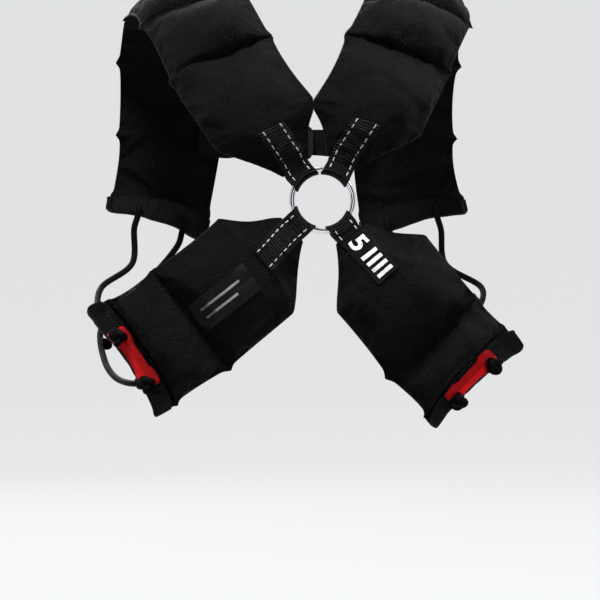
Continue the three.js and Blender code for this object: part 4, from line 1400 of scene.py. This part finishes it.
def strap_surface(pad, seat, u, v):
    """The chest strap: u from its sewn end under the pad, free between, into the clasp's pocket."""
    middle, across, up, _ = seat
    s = level_with(middle[2], pad) + (v - 0.5) * TAPE_WIDTH
    edge, low = -pad.inner_half_width(s), pad.rest(s) - CLEARANCE - TAPE_THICKNESS / 2
    under = STRAP_UNDER_PAD * (1 - np.minimum(u / STRAP_SEWN, 1))
    sewn, first, away = (
        pad.bed.at(s, edge + w, low) for w in (under, 0.0, -STRAP_LEAD_PAD)
    )

    def from_clasp(x):
        aside = across * pad.sign * (CLASP_WIDTH / 2 + x)
        return middle + aside + np.outer((v - 0.5) * TAPE_WIDTH, up)

    last, lead = from_clasp(CLASP_SLACK - CLASP_POCKET), from_clasp(STRAP_LEAD_CLASP)
    t = np.clip((u - STRAP_SEWN) / (1 - STRAP_SEWN), 0, 1)[:, None]
    free = cubic(first, last, 3 * (away - first), 3 * (last - lead), t)
    return np.where((u < STRAP_SEWN)[:, None], sewn, free)


def make_clasp(seat):
    """A plain push clasp: a body with rounded corners, a sunk press field and a groove round it."""
    middle, *ways = seat
    piece = added("push_clasp", bpy.ops.mesh.primitive_cube_add, size=1)
    piece.data.transform(Matrix.Diagonal((CLASP_WIDTH, CLASP_HEIGHT, CLASP_THICKNESS, 1)))
    mesh = bmesh.new()
    mesh.from_mesh(piece.data)
    upright = [e for e in mesh.edges if abs(e.verts[0].co.z - e.verts[1].co.z) > 1]
    bmesh.ops.bevel(mesh, geom=upright, offset=8, segments=8, profile=0.5, affect="EDGES")
    rim = []
    for below, thickness, depth in CLASP_INSETS:
        top = [f for f in mesh.faces if f.normal.z > 0.9 and f not in rim
               and f.calc_center_median().z < below]
        inset = bmesh.ops.inset_region(mesh, faces=top, thickness=thickness, depth=depth)
        rim = rim or inset["faces"]
    mesh.to_mesh(piece.data)
    mesh.free()
    corners = {"limit_method": "ANGLE", "angle_limit": math.radians(40)}
    apply(piece, "BEVEL", width=0.6, segments=3, **corners)
    set_coordinates(piece, to_row(middle + coordinates(piece) @ np.array(ways)))
    return piece


class VEST_OT_closure(bpy.types.Operator):
    """Makes the two chest straps and the plain clasp between them"""

    bl_idname = "vest.closure"
    bl_label = "Chest closure"

    def execute(self, context):
        seat = clasp_seat()
        for side, pad in SHOULDERS.items():
            piece = sheet(f"chest_tape_{side}", 110, 22,
                          lambda u, v, pad=pad: strap_surface(pad, seat, u, v),
                          (STRAP_LENGTH, TAPE_WIDTH), TAPE_THICKNESS)
            node = f"chest_strap_{side}"
            finish_piece(piece, ribbed_tape("loop_tape"), (node,), angle=50)
        finish_piece(make_clasp(seat), clasp_plastic(), ("chest_clasp",), angle=30)
        return {"FINISHED"}


# ---- The stage ----

# Each light's place, size and power, and whether reflections show it.
LIGHTS = {
    "key": ((-0.7, -0.9, 2.3), 0.8, 120, True),
    "rim": ((1.9, 0.3, 1.4), 1.0, 26, True),
    "fill": ((0.9, -2.5, 0.3), 1.2, 34, False),
    "front": ((-0.4, 2.2, 0.9), 1.4, 26, True),
}
LIGHTS_AIM = (0, -0.05, -0.2)
# Cards behind the vest that only reflections show: place, half size, grey and glow.
CARDS = {"dark_card": (-2.9, 7.0, 0.01, 0.0), "bright_card": (-2.75, 0.42, 0.8, 1.2)}
ROOM = {"From Min": -0.2, "From Max": 0.9, "To Min": 0.02, "To Max": 0.3}
FLOOR_FLAT, FLOOR_BEND, FLOOR_RUN = 6.5, 1.5, 16.0
VIEW_TURN = math.radians(-8.0)
VIEW_ASIDE, VIEW_DOWN = -0.0201, -0.0888


class VEST_OT_stage(bpy.types.Operator):
    """Makes the pale floor and backdrop, the soft lights and the camera"""

    bl_idname = "vest.stage"
    bl_label = "Stage"

    def execute(self, context):
        settings = context.scene.vest_stage
        self.sweep(settings.floor)
        self.room(context)
        for name, numbers in CARDS.items():
            self.card(name, *numbers)
        for name, (place, size, power, in_reflections) in LIGHTS.items():
            light = bpy.data.lights.new(name, "AREA")
            light.shape, light.size, light.energy = "SQUARE", size, power * settings.brightness
            lamp = bpy.data.objects.new(name, light)
            context.collection.objects.link(lamp)
            lamp.visible_camera, lamp.visible_glossy = False, in_reflections
            lamp.location = place
            aim = Vector(LIGHTS_AIM) - Vector(place)
            lamp.rotation_euler = aim.to_track_quat("-Z", "Y").to_euler()
        self.camera(context, settings)
        return {"FINISHED"}

    def room(self, context):
        """A dim room, paler overhead."""
        world = bpy.data.worlds.new("soft_room")
        world.use_nodes = True
        nodes, links = world.node_tree.nodes, world.node_tree.links
        up, split, ramp = (
            nodes.new("ShaderNode" + kind) for kind in ("TexCoord", "SeparateXYZ", "MapRange")
        )
        for key, value in ROOM.items():
            ramp.inputs[key].default_value = value
        links.new(up.outputs["Generated"], split.inputs[0])
        links.new(split.outputs["Z"], ramp.inputs["Value"])
        links.new(ramp.outputs[0], nodes["Background"].inputs["Strength"])
        nodes["Background"].inputs["Color"].default_value = (0.95, 0.97, 1.0, 1)
        context.scene.world = world
        context.scene.view_settings.view_transform = "Standard"

    def sweep(self, level):
        """A round floor that curves up into a wall on every side."""
        sphere = {"segments": 96, "ring_count": 48, "radius": 1.0}
        floor = added("pale_sweep", bpy.ops.mesh.primitive_uv_sphere_add, **sphere)
        co = coordinates(floor)
        run = (co[:, 2] * 0.5 + 0.5) * FLOOR_RUN
        turn = np.clip((run - FLOOR_FLAT) / FLOOR_BEND, 0, np.pi / 2)
        past = np.maximum(run - FLOOR_FLAT - FLOOR_BEND * np.pi / 2, 0)
        radius = np.minimum(run, FLOOR_FLAT) + np.sin(turn) * FLOOR_BEND
        height = (1 - np.cos(turn)) * FLOOR_BEND + past
        flat = co[:, :2] / np.maximum(np.linalg.norm(co[:, :2], axis=1, keepdims=True), 1e-6)
        set_coordinates(floor, np.column_stack((flat * radius[:, None], height + level)))
        floor.data.materials.append(pale_stage())
        floor.visible_diffuse = False
        only(floor)
        bpy.ops.object.shade_smooth()

    def card(self, name, y, half, tone, glow):
        grid = {"x_subdivisions": 4, "y_subdivisions": 4, "size": 2}
        card = added(name, bpy.ops.mesh.primitive_grid_add, **grid)
        x, z, _ = coordinates(card).T * half
        set_coordinates(card, np.stack((x, x * 0 + y, z), -1))
        f = Finish(name, roughness=1.0, specular_ior_level=0.0,
                   emission_strength=glow, emission_color=(1, 1, 1, 1))
        colour = f.colours(f.noise(f.spot(), 2.0), grey(tone), grey(tone * 1.3))
        card.data.materials.append(f.done(colour))
        card.visible_camera = card.visible_diffuse = card.visible_shadow = False

    def camera(self, context, settings):
        right = Vector((math.cos(VIEW_TURN), math.sin(VIEW_TURN), 0))
        back = Vector((math.sin(VIEW_TURN), -math.cos(VIEW_TURN), 0))
        ring = Vector(to_row(RING_SEAT + RING_OUT * RING_STANDS_OFF))
        data = bpy.data.cameras.new("photo_view")
        data.lens, data.sensor_width = settings.lens, 36.0
        camera = bpy.data.objects.new("photo_view", data)
        context.collection.objects.link(camera)
        aim = ring + right * VIEW_ASIDE + Vector((0, 0, VIEW_DOWN))
        camera.location = aim + back * settings.distance
        camera.rotation_euler = (-back).to_track_quat("-Z", "Y").to_euler()
        context.scene.camera = camera


# ---- Sidebar and registration ----

STEPS = (VEST_OT_pads, VEST_OT_ring, VEST_OT_loops, VEST_OT_hems, VEST_OT_cords,
         VEST_OT_labels, VEST_OT_closure, VEST_OT_stage)
GROUPS = {
    "vest_pads": PadSettings,
    "vest_tapes": TapeSettings,
    "vest_cords": CordSettings,
    "vest_stage": StageSettings,
}


class VEST_PT_sidebar(bpy.types.Panel):
    """Lists the vest's pieces and their settings"""

    bl_idname = "VEST_PT_sidebar"
    bl_label = "Weighted vest"
    bl_space_type = "VIEW_3D"
    bl_region_type = "UI"
    bl_category = "Vest"

    def draw(self, context):
        for step in STEPS:
            self.layout.operator(step.bl_idname)
        for name, group in GROUPS.items():
            box = self.layout.box()
            for key in group.__annotations__:
                box.prop(getattr(context.scene, name), key)


def register():
    for part in (*GROUPS.values(), *STEPS, VEST_PT_sidebar):
        bpy.utils.register_class(part)
    for name, group in GROUPS.items():
        setattr(bpy.types.Scene, name, bpy.props.PointerProperty(type=group))


def unregister():
    for name in GROUPS:
        delattr(bpy.types.Scene, name)
    for part in reversed((*GROUPS.values(), *STEPS, VEST_PT_sidebar)):
        bpy.utils.unregister_class(part)


def main():
    register()
    for step in STEPS:
        group, name = step.bl_idname.split(".")
        getattr(getattr(bpy.ops, group), name)()


if __name__ == "__main__":
    main()
